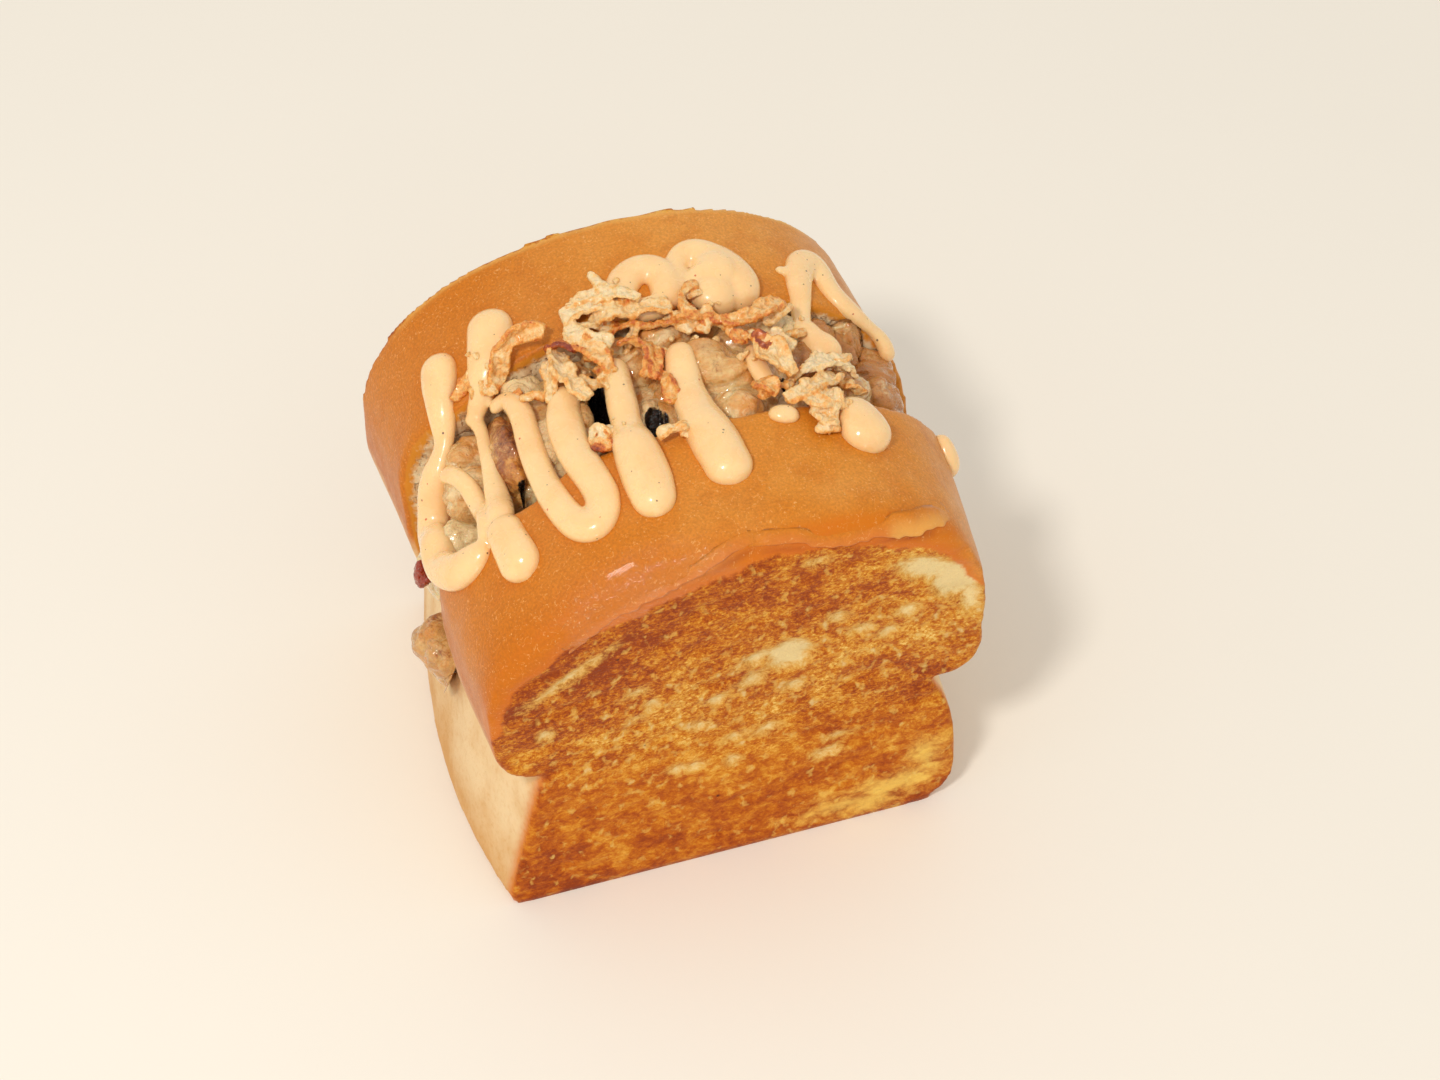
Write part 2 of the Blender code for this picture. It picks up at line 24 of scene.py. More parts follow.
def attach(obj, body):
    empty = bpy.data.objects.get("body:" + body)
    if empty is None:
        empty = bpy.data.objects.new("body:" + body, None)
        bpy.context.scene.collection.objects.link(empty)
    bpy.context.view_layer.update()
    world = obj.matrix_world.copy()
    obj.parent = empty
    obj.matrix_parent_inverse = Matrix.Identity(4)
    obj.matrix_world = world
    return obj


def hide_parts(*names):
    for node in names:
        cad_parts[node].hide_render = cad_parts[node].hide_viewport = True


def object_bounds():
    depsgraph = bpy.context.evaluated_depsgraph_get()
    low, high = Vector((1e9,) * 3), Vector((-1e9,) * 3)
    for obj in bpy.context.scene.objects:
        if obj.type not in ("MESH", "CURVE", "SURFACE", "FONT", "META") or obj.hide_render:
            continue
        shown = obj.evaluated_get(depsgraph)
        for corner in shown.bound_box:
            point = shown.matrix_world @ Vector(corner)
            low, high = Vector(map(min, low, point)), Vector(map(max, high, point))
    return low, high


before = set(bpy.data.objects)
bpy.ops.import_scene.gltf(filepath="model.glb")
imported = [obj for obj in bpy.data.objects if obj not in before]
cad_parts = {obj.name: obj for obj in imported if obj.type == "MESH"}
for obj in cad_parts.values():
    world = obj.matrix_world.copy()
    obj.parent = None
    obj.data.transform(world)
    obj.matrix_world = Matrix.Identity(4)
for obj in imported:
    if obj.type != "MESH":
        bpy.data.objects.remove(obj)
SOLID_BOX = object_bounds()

LOG = logging.getLogger("sandwich")
MM = 0.001
Array = np.ndarray
Mesh = bpy.types.Mesh
Piece = bpy.types.Object
Pair = tuple[float, float]
Triple = tuple[float, float, float]
Colour = tuple[float, float, float, float]


class Node(Enum):
    """The solids of the model that this file dresses."""

    BREAD = "brioche"
    FILLING = "chicken_filling"


class Slot(Enum):
    """The names of the finishes' slots."""

    BREAD = "brioche"
    CHICKEN = "chicken_filling"
    SAUCE = "sauce_drizzle"
    ONION = "onion_strips"


class Edge(Enum):
    """The two sides of the slit, as the sign of their way out from its middle."""

    FRONT = -1
    BACK = 1


def paint(red: float, green: float, blue: float) -> Colour:
    """A linear colour from the usual screen values.

    Args:
        red: Screen value from 0 to 255.
        green: Screen value from 0 to 255.
        blue: Screen value from 0 to 255.

    Returns:
        The linear colour with full alpha.
    """

    def linear(value: float) -> float:
        share = value / 255.0
        return share / 12.92 if share <= 0.04045 else ((share + 0.055) / 1.055) ** 2.4

    return (linear(red), linear(green), linear(blue), 1.0)


def between(low: Any, high: Any, share: Any) -> Any:
    """The value this share of the way from low to high."""
    return low + (high - low) * share


def ease(values: Any, low: float, high: float) -> Any:
    """0 below low, 1 above high and smooth between them (low may be the larger one)."""
    share = np.clip((values - low) / (high - low), 0.0, 1.0)
    return share * share * (3.0 - 2.0 * share)


def cell_value(cells: Array, seed: int) -> Array:
    """A fixed random number from 0 to 1 for each whole-numbered cell of space.

    Args:
        cells: Whole numbers, three in each row.
        seed: Picks one of many patterns.

    Returns:
        One number for each row.
    """
    mixed = cells[..., 0] * 374761393 + cells[..., 1] * 668265263 + cells[..., 2] * 1440662683
    mixed = (mixed + seed * 974634777) & 0xFFFFFFFF
    mixed = ((mixed ^ (mixed >> 13)) * 1274126177) & 0xFFFFFFFF
    return ((mixed ^ (mixed >> 16)) & 0xFFFF) / 65535.0


def soft_noise(points: Array, size: Any, seed: int) -> Array:
    """Smooth noise from -1 to 1.

    Args:
        points: The places.
        size: The lumps' size in millimetres, one number or one for each axis.
        seed: Picks one of many patterns.

    Returns:
        One value for each point.
    """
    scaled = points / np.asarray(size, float)
    low = np.floor(scaled).astype(np.int64)
    part = scaled - low
    part = part * part * (3.0 - 2.0 * part)
    total = np.zeros(len(points))
    for corner in np.ndindex(2, 2, 2):
        weight = np.prod(np.where(corner, part, 1.0 - part), axis=-1)
        total += weight * cell_value(low + np.array(corner), seed)
    return total * 2.0 - 1.0


def rough_noise(points: Array, size: Any, seed: int, octaves: int = 3) -> Array:
    """Noise with finer and finer lumps added, each octave half as large and half as strong.

    Args:
        points: The places.
        size: The largest lumps' size, in millimetres.
        seed: Picks one of many patterns.
        octaves: How many sizes of lump there are.

    Returns:
        One value for each point.
    """
    size = np.asarray(size, float)
    total = np.zeros(len(points))
    for octave in range(octaves):
        total += soft_noise(points, size / 2**octave, seed + octave) / 2**octave
    return total


# ---- meshes


def new_mesh(name: str, points: Array, faces: Iterable[Sequence[int]]) -> Mesh:
    """A mesh from points in millimetres.

    Args:
        name: The mesh's name.
        points: The places.
        faces: Each face's point numbers.

    Returns:
        The mesh, in metres.
    """
    mesh = bpy.data.meshes.new(name)
    mesh.from_pydata([tuple(point) for point in np.asarray(points) * MM], [], list(faces))
    mesh.update()
    return mesh


def new_piece(name: str, mesh: Mesh) -> Piece:
    """An object for a mesh, in the scene.

    Args:
        name: Its name.
        mesh: The mesh.

    Returns:
        The object.
    """
    made = bpy.data.objects.new(name, mesh)
    bpy.context.scene.collection.objects.link(made)
    return made


def points_of(mesh: Mesh) -> Array:
    """A mesh's points in millimetres, three numbers in each row.

    Args:
        mesh: The mesh.

    Returns:
        The places.
    """
    flat = np.empty(len(mesh.vertices) * 3, np.float32)
    mesh.vertices.foreach_get("co", flat)
    return flat.reshape(-1, 3).astype(float) / MM


def set_points(mesh: Mesh, points: Array) -> None:
    """Moves a mesh's points to these places in millimetres."""
    mesh.vertices.foreach_set("co", (points * MM).astype(np.float32).ravel())
    mesh.update()


def normals_of(mesh: Mesh) -> Array:
    """The outward direction at each point of a mesh.

    Args:
        mesh: The mesh.

    Returns:
        The directions, each 1 long.
    """
    flat = np.empty(len(mesh.vertices) * 3, np.float32)
    mesh.vertex_normals.foreach_get("vector", flat)
    return flat.reshape(-1, 3).astype(float)


def put_values(mesh: Mesh, name: str, values: Array) -> None:
    """Keeps one number for each point of a mesh under a name that its finish reads."""
    kept = mesh.attributes.new(name, "FLOAT", "POINT")
    kept.data.foreach_set("value", np.asarray(values, np.float32))


def shaped(piece: Piece) -> Mesh:
    """Replaces a piece's mesh by what its modifiers make of it, and drops them.

    Args:
        piece: The piece, with its modifiers.

    Returns:
        Its new mesh.
    """
    bpy.context.view_layer.update()
    graph = bpy.context.evaluated_depsgraph_get()
    mesh = bpy.data.meshes.new_from_object(piece.evaluated_get(graph))
    piece.modifiers.clear()
    piece.data = mesh
    return mesh


def remeshed(piece: Piece, voxel: float, smoothing: int) -> Mesh:
    """Fits a piece into the solids' box, fixes it to the model and hides the solids that it stands for.

    Args:
        piece: The piece, closed, or several closed bodies that may overlap.
        voxel: The skin's grain in millimetres.
        smoothing: How many times the skin is then smoothed.

    Returns:
        The piece's new mesh.
    """
    skin = piece.modifiers.new("skin", "REMESH")
    skin.mode = "VOXEL"
    skin.voxel_size = voxel * MM
    soft = piece.modifiers.new("soft", "SMOOTH")
    soft.factor = 0.5
    soft.iterations = smoothing
    mesh = shaped(piece)
    mesh.shade_smooth()
    return mesh


def loft(name: str, rings: Sequence[Array]) -> Mesh:
    """A closed mesh through rings of equally many points, with flat ends.

    Args:
        name: The mesh's name.
        rings: Each ring's points, in millimetres.

    Returns:
        The mesh, in metres.
    """
    count = len(rings[0])
    faces: list[tuple[int, ...]] = []
    for ring in range(len(rings) - 1):
        low = ring * count
        for index in range(count):
            after = (index + 1) % count
            faces.append((low + index, low + after, low + count + after, low + count + index))
    faces.append(tuple(range(count)))
    faces.append(tuple(range((len(rings) - 1) * count, len(rings) * count)))
    mesh = new_mesh(name, np.concatenate(rings), faces)
    shape = bmesh.new()
    shape.from_mesh(mesh)
    bmesh.ops.recalc_face_normals(shape, faces=shape.faces)
    bmesh.ops.triangulate(shape, faces=shape.faces)
    shape.to_mesh(mesh)
    shape.free()
    return mesh


@dataclass
class Body:
    """A closed body, or a sheet: its points, its faces and the numbers its finish reads there."""

    points: Array
    faces: list[tuple[int, ...]]
    values: dict[str, Array] = field(default_factory=dict)


def taken(mesh: Mesh) -> Body:
    """A mesh's points and faces; the mesh itself is dropped, with the object that has it.

    Args:
        mesh: The mesh.

    Returns:
        The body.
    """
    body = Body(points_of(mesh), [tuple(face.vertices) for face in mesh.polygons])
    bpy.data.meshes.remove(mesh)
    return body


def ball(subdivisions: int) -> Body:
    """A round body with a radius of 1.

    Args:
        subdivisions: How finely its faces are divided.

    Returns:
        The body.
    """
    shape = bmesh.new()
    bmesh.ops.create_icosphere(shape, subdivisions=subdivisions, radius=1.0)
    faces = [tuple(vert.index for vert in face.verts) for face in shape.faces]
    body = Body(np.array([vert.co for vert in shape.verts]), faces)
    shape.free()
    return body


def gathered(name: str, bodies: Sequence[Body]) -> Mesh:
    """One mesh of several bodies.

    Args:
        name: The mesh's name.
        bodies: The bodies, all with numbers under the same names.

    Returns:
        The mesh, which keeps the bodies' numbers.
    """
    start, faces = 0, []
    for body in bodies:
        faces += [tuple(index + start for index in face) for face in body.faces]
        start += len(body.points)
    mesh = new_mesh(name, np.concatenate([body.points for body in bodies]), faces)
    for key in bodies[0].values:
        put_values(mesh, key, np.concatenate([body.values[key] for body in bodies]))
    return mesh


def carry(bodies: Sequence[Body], mesh: Mesh) -> None:
    """Gives each point of a mesh the numbers of the bodies' point that is nearest to it.

    Args:
        bodies: The bodies that the mesh was made from.
        mesh: The mesh.
    """
    points = np.concatenate([body.points for body in bodies])
    tree = KDTree(len(points))
    for index, point in enumerate(points):
        tree.insert(point, index)
    tree.balance()
    nearest = np.array([tree.find(place)[1] for place in points_of(mesh)])
    for key in bodies[0].values:
        put_values(mesh, key, np.concatenate([body.values[key] for body in bodies])[nearest])


def unit_rows(rows: Array) -> Array:
    """Each row made 1 long."""
    return rows / np.linalg.norm(rows, axis=1)[:, None]


def distance_to_line(points: Array, line: Array) -> tuple[Array, Array]:
    """How far each point is from a line of straight runs.

    Args:
        points: Places, two or three numbers in each row.
        line: The line's own points, in order.

    Returns:
        The distances, and how far along the line the nearest place is, from 0 to 1.
    """
    best = np.full(len(points), np.inf)
    where = np.zeros(len(points))
    runs = np.linalg.norm(np.diff(line, axis=0), axis=1)
    starts = np.concatenate([[0.0], np.cumsum(runs)])
    for index, run in enumerate(runs):
        step = line[index + 1] - line[index]
        share = np.clip((points - line[index]) @ step / run**2, 0.0, 1.0)
        away = np.linalg.norm(points - line[index] - share[:, None] * step, axis=1)
        near = away < best
        best[near] = away[near]
        where[near] = (starts[index] + share[near] * run) / starts[-1]
    return best, where


# ---- finishes


class Wire:
    """A node's output; arithmetic and the calls below each add a node that works on it."""

    def __init__(self, graph: "Graph", socket: Any) -> None:
        """Keeps the output and the material that it is in."""
        self.graph, self.socket = graph, socket

    def __add__(self, other: Any) -> "Wire":
        """The sum of two values."""
        return self.graph.sum("ADD", self, other)

    def __sub__(self, other: Any) -> "Wire":
        """This value less the other."""
        return self.graph.sum("SUBTRACT", self, other)

    def __rsub__(self, other: Any) -> "Wire":
        """The other value less this one."""
        return self.graph.sum("SUBTRACT", other, self)

    def __mul__(self, other: Any) -> "Wire":
        """The product of two values."""
        return self.graph.sum("MULTIPLY", self, other)

    def most(self, other: Any) -> "Wire":
        """The larger of two values."""
        return self.graph.sum("MAXIMUM", self, other)

    def step(self, low: float, high: float, start: float = 0.0, end: float = 1.0) -> "Wire":
        """A smooth step from start to end as this value goes from low to high."""
        made = self.graph.node("MapRange", self, low, high, start, end, interpolation_type="SMOOTHSTEP")
        return Wire(self.graph, made.outputs[0])

    def split(self) -> list["Wire"]:
        """This vector's three numbers."""
        return [Wire(self.graph, number) for number in self.graph.node("SeparateXYZ", self).outputs]

    def stretch(self, by: Triple) -> "Wire":
        """This vector with each of its numbers multiplied."""
        return Wire(self.graph, self.graph.node("VectorMath", self, by, operation="MULTIPLY").outputs[0])

    def noise(self, size: float, detail: float = 2.0, rough: float = 0.5) -> "Wire":
        """Noise from 0 to 1 at this place, with lumps of about this many millimetres."""
        made = self.graph.node("TexNoise", self, 0.0, 1.0 / size, detail, rough)
        return Wire(self.graph, made.outputs["Fac"])

    def warp(self, size: float, by: float) -> "Wire":
        """This place pushed about by noise, by up to about this many millimetres.

        Args:
            size: The noise's lumps, in millimetres.
            by: The push, in millimetres.

        Returns:
            The new place.
        """
        made = self.graph.node("TexNoise", self, 0.0, 1.0 / size)
        push = Wire(self.graph, made.outputs["Color"])
        made = self.graph.node("VectorMath", push, (2.0 * by,) * 3, self, operation="MULTIPLY_ADD")
        return Wire(self.graph, made.outputs[0])

    def cells(self, size: float) -> tuple["Wire", "Wire"]:
        """Distance to the nearest of scattered points, in cells, and that point's random number."""
        made = self.graph.node("TexVoronoi", self, 0.0, 1.0 / size).outputs
        return Wire(self.graph, made["Distance"]), Wire(self.graph, made["Color"]).split()[0]


class Graph:
    """A material's node tree, with a short call for each kind of node that a food needs."""

    def __init__(self, name: str) -> None:
        """Starts a material of this name."""
        self.material = bpy.data.materials.new(name)
        self.material.use_nodes = True
        self.tree = self.material.node_tree
        self.shader = self.tree.nodes["Principled BSDF"]
        coords = Wire(self, self.node("TexCoord").outputs["Object"])
        self.place = coords.stretch((1.0 / MM,) * 3)

    def node(self, kind: str, *values: Any, **options: Any) -> bpy.types.Node:
        """Adds a node.

        Args:
            kind: The kind of node, without the words that all shader nodes start with.
            values: What goes into its first sockets, in their order.
            options: Its own settings.

        Returns:
            The node.
        """
        made = self.tree.nodes.new("ShaderNode" + kind)
        for name, option in options.items():
            setattr(made, name, option)
        for socket, value in zip(made.inputs, values):
            self.feed(socket, value)
        return made

    def feed(self, socket: Any, value: Any) -> None:
        """Links a socket to a wire, or sets its own value.

        Args:
            socket: The socket.
            value: A wire, or the value itself.
        """
        if isinstance(value, Wire):
            self.tree.links.new(value.socket, socket)
        else:
            socket.default_value = value

    def dress(self, name: str, value: Any) -> None:
        """Sets or links one of the shader's own sockets."""
        self.feed(self.shader.inputs[name], value)

    def soften(self, share: float, colours: Triple, depth: float) -> None:
        """Lets light into the food.

        Args:
            share: How much of the light goes in.
            colours: Each colour's share of the depth.
            depth: How deep, in millimetres.
        """
        self.dress("Subsurface Weight", share)
        self.dress("Subsurface Radius", colours)
        self.dress("Subsurface Scale", depth * MM)

    def coat(self, weight: Any, roughness: float, index: float, normal: Any = None) -> None:
        """A wet film over the food.

        Args:
            weight: Its share, from 0 to 1.
            roughness: How dull it is.
            index: Its refraction.
            normal: Its ripples.
        """
        self.dress("Coat Weight", weight)
        self.dress("Coat Roughness", roughness)
        self.dress("Coat IOR", index)
        if normal is not None:
            self.dress("Coat Normal", normal)

    def value(self, name: str) -> Wire:
        """The number that the mesh keeps under this name."""
        return Wire(self, self.node("Attribute", attribute_name=name).outputs["Fac"])

    def sum(self, operation: str, first: Any, second: Any = 0.0) -> Wire:
        """The result of one step of arithmetic."""
        return Wire(self, self.node("Math", first, second, operation=operation).outputs[0])

    def join(self, x: Any, y: Any, z: Any) -> Wire:
        """A vector from three numbers."""
        return Wire(self, self.node("CombineXYZ", x, y, z).outputs[0])

    def grey(self, value: Wire) -> Wire:
        """A colour with this value in all three of its parts."""
        return self.join(value, value, value)

    def mix(self, share: Any, first: Any, second: Any, how: str = "MIX") -> Wire:
        """Two colours mixed, with share 0 all first and 1 all second.

        Args:
            share: The second's share.
            first: A colour.
            second: A colour.
            how: How they blend.

        Returns:
            The mixed colour.
        """
        made = self.node("Mix", share, data_type="RGBA", blend_type=how)
        self.feed(made.inputs[6], first)
        self.feed(made.inputs[7], second)
        return Wire(self, made.outputs[2])

    def ramp(self, share: Wire, stops: Sequence[tuple[float, Colour]]) -> Wire:
        """A colour that runs through these stops.

        Args:
            share: Where along the ramp.
            stops: Each stop's place and colour.

        Returns:
            The colour.
        """
        made = self.node("ValToRGB", share)
        band = made.color_ramp
        for number, (place, colour) in enumerate(stops):
            stop = band.elements[number] if number < 2 else band.elements.new(place)
            stop.position = place
            stop.color = colour
        return Wire(self, made.outputs[0])

    def bump(self, height: Wire, depth: float, under: Any = None) -> Wire:
        """A bumped normal from a height of 0 to 1 that stands for a depth in millimetres.

        Args:
            height: The height.
            depth: What 1 stands for, in millimetres.
            under: A coarser bump that this one lies on.

        Returns:
            The normal.
        """
        made = self.node("Bump")
        self.feed(made.inputs["Height"], height)
        self.feed(made.inputs["Distance"], depth * MM)
        if under is not None:
            self.feed(made.inputs["Normal"], under)
        return Wire(self, made.outputs[0])


@dataclass(frozen=True)
class BreadFinish:
    """Glazed crust, pan-baked side, toasted face and soft crumb, each where the mesh says."""

    name = "baked_brioche"
    crust: Colour = paint(213, 130, 33)
    crust_deep: Colour = paint(194, 103, 8)
    crust_pale_and_sheen: Colour = paint(222, 150, 66)
    rind: Colour = paint(210, 134, 38)
    hem: Colour = paint(236, 178, 88)
    caramel: Colour = paint(208, 114, 6)
    crease: Colour = paint(150, 62, 14)
    ridge: Colour = paint(214, 122, 52)
    side: Colour = paint(238, 206, 158)
    side_tan: Colour = paint(214, 160, 94)
    crumb: Colour = paint(230, 206, 164)
    crumb_brown_and_pit_shade: Colour = paint(190, 140, 88)
    shade: Colour = paint(70, 34, 14)
    scorch: Colour = paint(212, 108, 24)
    hair: Colour = paint(240, 186, 116)
    pore: Colour = paint(240, 216, 156)
    pore_dim: Colour = paint(224, 172, 80)
    butter: Colour = paint(246, 206, 100)
    speck: Colour = paint(70, 34, 16)
    toast: tuple[tuple[float, Colour], ...] = (
        (0.0, paint(146, 58, 6)),
        (0.22, paint(174, 80, 6)),
        (0.45, paint(198, 110, 16)),
        (0.65, paint(214, 140, 38)),
        (0.84, paint(232, 171, 68)),
        (1.0, paint(248, 210, 122)),
    )

    def toast_tone(self, graph: Graph) -> tuple[Wire, Wire]:
        """The toasted face's pattern.

        Args:
            graph: The material.

        Returns:
            The colour and the relief's height from 0 to 1.
        """
        x, y, _ = graph.place.split()
        along = graph.join(x * 0.85, graph.value("flow"), y * 0.5)
        pushed = along.warp(3.0, 1.3)
        blotch, mottle = pushed.noise(5.5), pushed.noise(1.7, 5.0, 0.72)
        grain = graph.place.stretch((0.7, 1.0, 1.0)).warp(1.2, 0.5).noise(0.55, 4.0, 0.7)
        rasp = (grain - 0.5) * (1.0 - graph.value("blurred") * 0.65)
        tone = (blotch * 0.32 + mottle * 0.4 + rasp * 0.6).step(0.17, 0.58)
        colour = graph.ramp(tone + graph.value("browning"), self.toast)
        fleck = along.stretch((1.2, 0.8, 1.0)).warp(1.6, 0.8).noise(2.1, 2.0, 0.45)
        fleck = fleck + graph.value("porous") * 0.12 + rasp * 0.12
        edge = graph.value("pale") + (mottle - 0.5) * 5.0 + rasp * 2.0
        pore = fleck.step(0.6, 0.78, 0.0, 0.75).most(edge.step(-1.4, 0.7, 0.0, 0.9))
        core = edge.step(-0.2, 1.9).most(fleck.step(0.74, 0.86, 0.0, 0.7))
        colour = graph.mix(pore, colour, graph.mix(core, self.pore_dim, self.pore))
        yellow = graph.value("butter") + (blotch - 0.5) * 12.0 + (mottle - 0.5) * 6.0
        colour = graph.mix(yellow.step(-3.0, 3.0, 0.0, 0.75), colour, self.butter)
        away, chance = along.cells(4.0)
        dot = away.step(0.11, 0.06) * chance.step(0.93, 0.95) * 0.8
        return graph.mix(dot, colour, self.speck), rasp + 0.6 - pore * 0.4

    def crust_tone(self, graph: Graph) -> tuple[Wire, Wire]:
        """The glazed crust's pattern.

        Args:
            graph: The material.

        Returns:
            The colour and the relief's height from 0 to 1.
        """
        place = graph.place
        fine = place.noise(0.5, 3.0, 0.6)
        colour = graph.mix(place.noise(24.0).step(0.35, 0.7, 0.0, 0.8), self.crust, self.crust_pale_and_sheen)
        colour = graph.mix(graph.value("baked"), colour, self.crust_deep)
        # painted sheen: the crust is paler towards its back and towards its right end
        colour = graph.mix(graph.value("faded"), colour, self.crust_pale_and_sheen)
        cloud = place.warp(6.0, 2.0).noise(7.0, 3.0, 0.6)
        colour = graph.mix(cloud.step(0.45, 0.7, 0.0, 0.35), colour, self.crust_deep)
        colour = graph.mix(1.0, colour, graph.grey(fine.step(0.25, 0.75, 0.84, 1.12)), "MULTIPLY")
        streak = place.stretch((0.3, 1.0, 1.0)).noise(1.8, 3.0, 0.6)
        colour = graph.mix(graph.value("caramel") * streak.step(0.2, 0.6, 0.55, 1.0), colour, self.caramel)
        # painted shade in the groove under the crust's fold
        colour = graph.mix(graph.value("groove"), colour, self.crease)
        colour = graph.mix(graph.value("ridge"), colour, self.ridge)
        colour = graph.mix(graph.value("hem"), colour, self.hem)
        line = graph.sum("ABSOLUTE", place.warp(2.0, 1.0).noise(2.6) - 0.5).step(0.012, 0.002)
        colour = graph.mix(line * fine.step(0.45, 0.6, 0.0, 0.5), colour, self.hair)
        away, pick = place.cells(1.0)
        dot = away.step(0.22, 0.08) * pick.step(0.7, 0.9)
        return graph.mix(dot * 0.45, colour, self.hair), fine - dot * 0.5

    def side_tone(self, graph: Graph) -> Wire:
        """The pan-baked side's colour.

        Args:
            graph: The material.

        Returns:
            The colour.
        """
        share = graph.place.noise(9.0, 3.0, 0.55).step(0.35, 0.75, 0.0, 0.5)
        share = share + graph.place.noise(1.1, 3.0, 0.6).step(0.45, 0.8, 0.0, 0.3)
        share = share + graph.place.split()[2].step(18.0, 2.0, 0.0, 0.75)
        return graph.mix(share, self.side, self.side_tan)

    def crumb_tone(self, graph: Graph) -> tuple[Wire, Wire]:
        """The soft inside's colour and relief.

        Args:
            graph: The material.

        Returns:
            The colour and the relief's height from 0 to 1.
        """
        pushed = graph.place.warp(3.0, 1.0)
        colour = graph.mix(pushed.noise(5.0, 4.0, 0.6).step(0.42, 0.68), self.crumb, self.crumb_brown_and_pit_shade)
        depth = pushed.noise(1.5, 3.0, 0.55).step(0.3, 0.5)
        # painted shade in the crumb's pits; the same brown also makes its random patches
        return graph.mix(depth.step(0.6, 0.0, 0.0, 0.6), colour, self.crumb_brown_and_pit_shade), depth

    def material(self) -> bpy.types.Material:
        """The whole finish.

        Returns:
            The material.
        """
        graph = Graph(self.name)
        toast, toast_height = self.toast_tone(graph)
        crust, crust_height = self.crust_tone(graph)
        crumb, crumb_height = self.crumb_tone(graph)
        ragged = graph.place.noise(1.6, 3.0, 0.6) - 0.5
        side_edge = graph.value("side") + ragged * 5.0
        beside = (graph.value("rim") + ragged * 5.0).step(2.2, 0.2, 0.0, 0.8)
        side = graph.mix(beside, self.side_tone(graph), self.rind)
        colour = graph.mix(side_edge.step(-3.5, 3.5), crust, side)
        inner = (graph.value("inner") + ragged * 0.6).step(-0.25, 0.25)
        skin = graph.value("skin") + ragged * 3.4
        rind = skin.step(2.7, 1.2)
        crumb = graph.mix(rind, crumb, self.rind)
        crumb = graph.mix(skin.step(2.0, 6.0, 0.0, 0.9) * graph.value("shaded"), crumb, self.shade)
        colour = graph.mix(inner, colour, crumb)
        face_edge = graph.value("face") + ragged * 1.8
        singe = face_edge.step(-3.0, 0.6, 0.0, 0.7) * graph.value("front")
        colour = graph.mix(singe, colour, self.scorch)
        face = face_edge.step(-0.4, 0.7)
        graph.dress("Base Color", graph.mix(face, colour, toast))
        rough = graph.place.noise(3.0, 3.0, 0.6).step(0.3, 0.7, 0.38, 0.5)
        rough = rough + side_edge.step(-2.0, 3.0, 0.0, 0.25)
        graph.dress("Roughness", rough.most(inner * 0.75).most(face * 0.58))
        height = graph.mix(face, graph.grey(crust_height * 0.35), graph.grey(toast_height))
        pits = graph.mix(inner * (1.0 - rind), (1.0, 1.0, 1.0, 1.0), graph.grey(crumb_height))
        graph.dress("Normal", graph.bump(pits, 0.4, graph.bump(height, 0.3)))
        glaze = graph.value("glaze")
        wet = graph.place.stretch((0.6, 1.0, 1.0)).warp(2.0, 0.5).noise(1.1, 2.0)
        patchy = glaze * graph.place.noise(5.0).step(0.3, 0.5, 0.4, 1.0)
        shine = patchy.most(side_edge.step(1.0, -3.0, 0.0, 0.1))
        graph.coat(shine * (1.0 - inner.most(face)), 0.02, 1.4, graph.bump(wet * glaze, 1.0))
        graph.soften(0.06, (1.0, 0.5, 0.25), 1.0)
        graph.dress("Sheen Weight", 0.08)
        graph.dress("Sheen Roughness", 0.3)
        graph.dress("Specular IOR Level", 0.2)
        return graph.material


@dataclass(frozen=True)
class SauceFinish:
    """Smooth creamy sauce with specks of pepper and chilli."""

    base: Colour = paint(253, 210, 150)
    thin: Colour = paint(246, 188, 120)
    pepper: Colour = paint(74, 62, 52)
    herb: Colour = paint(112, 88, 58)
    chilli: Colour = paint(206, 84, 44)

    def specks(self, graph: Graph, colour: Any, size: float, share: float, radius: float) -> Wire:
        """Scatters specks over a colour.

        Args:
            graph: The material.
            colour: The colour so far.
            size: Room for each speck in millimetres.
            share: The share of those rooms that hold one.
            radius: A speck's radius, as a share of its room.

        Returns:
            The colour with specks in it.
        """
        away, pick = graph.place.warp(0.8, 0.15).cells(size)
        dot = away.step(radius, radius * 0.6) * pick.step(1.0 - share, 1.0 - share * 0.9)
        kind = graph.place.noise(5.3, 0.0)
        tint = graph.mix(kind.step(0.5, 0.53), self.pepper, self.herb)
        tint = graph.mix(kind.step(0.6, 0.62), tint, self.chilli)
        return graph.mix(dot * 0.85, colour, tint)

    def material(self) -> bpy.types.Material:
        """The whole finish.

        Returns:
            The material.
        """
        graph = Graph("peach_sauce")
        colour = graph.mix(graph.place.noise(6.0).step(0.35, 0.75, 0.0, 0.45), self.base, self.thin)
        colour = self.specks(graph, colour, 2.3, 0.28, 0.12)
        graph.dress("Base Color", self.specks(graph, colour, 1.3, 0.11, 0.14))
        ripple = graph.place.noise(2.4)
        graph.dress("Normal", graph.bump(ripple, 0.12))
        graph.dress("Roughness", ripple.step(0.3, 0.7, 0.19, 0.32))
        graph.soften(0.35, (1.0, 0.55, 0.3), 2.2)
        graph.coat(0.5, 0.06, 1.5)
        return graph.material


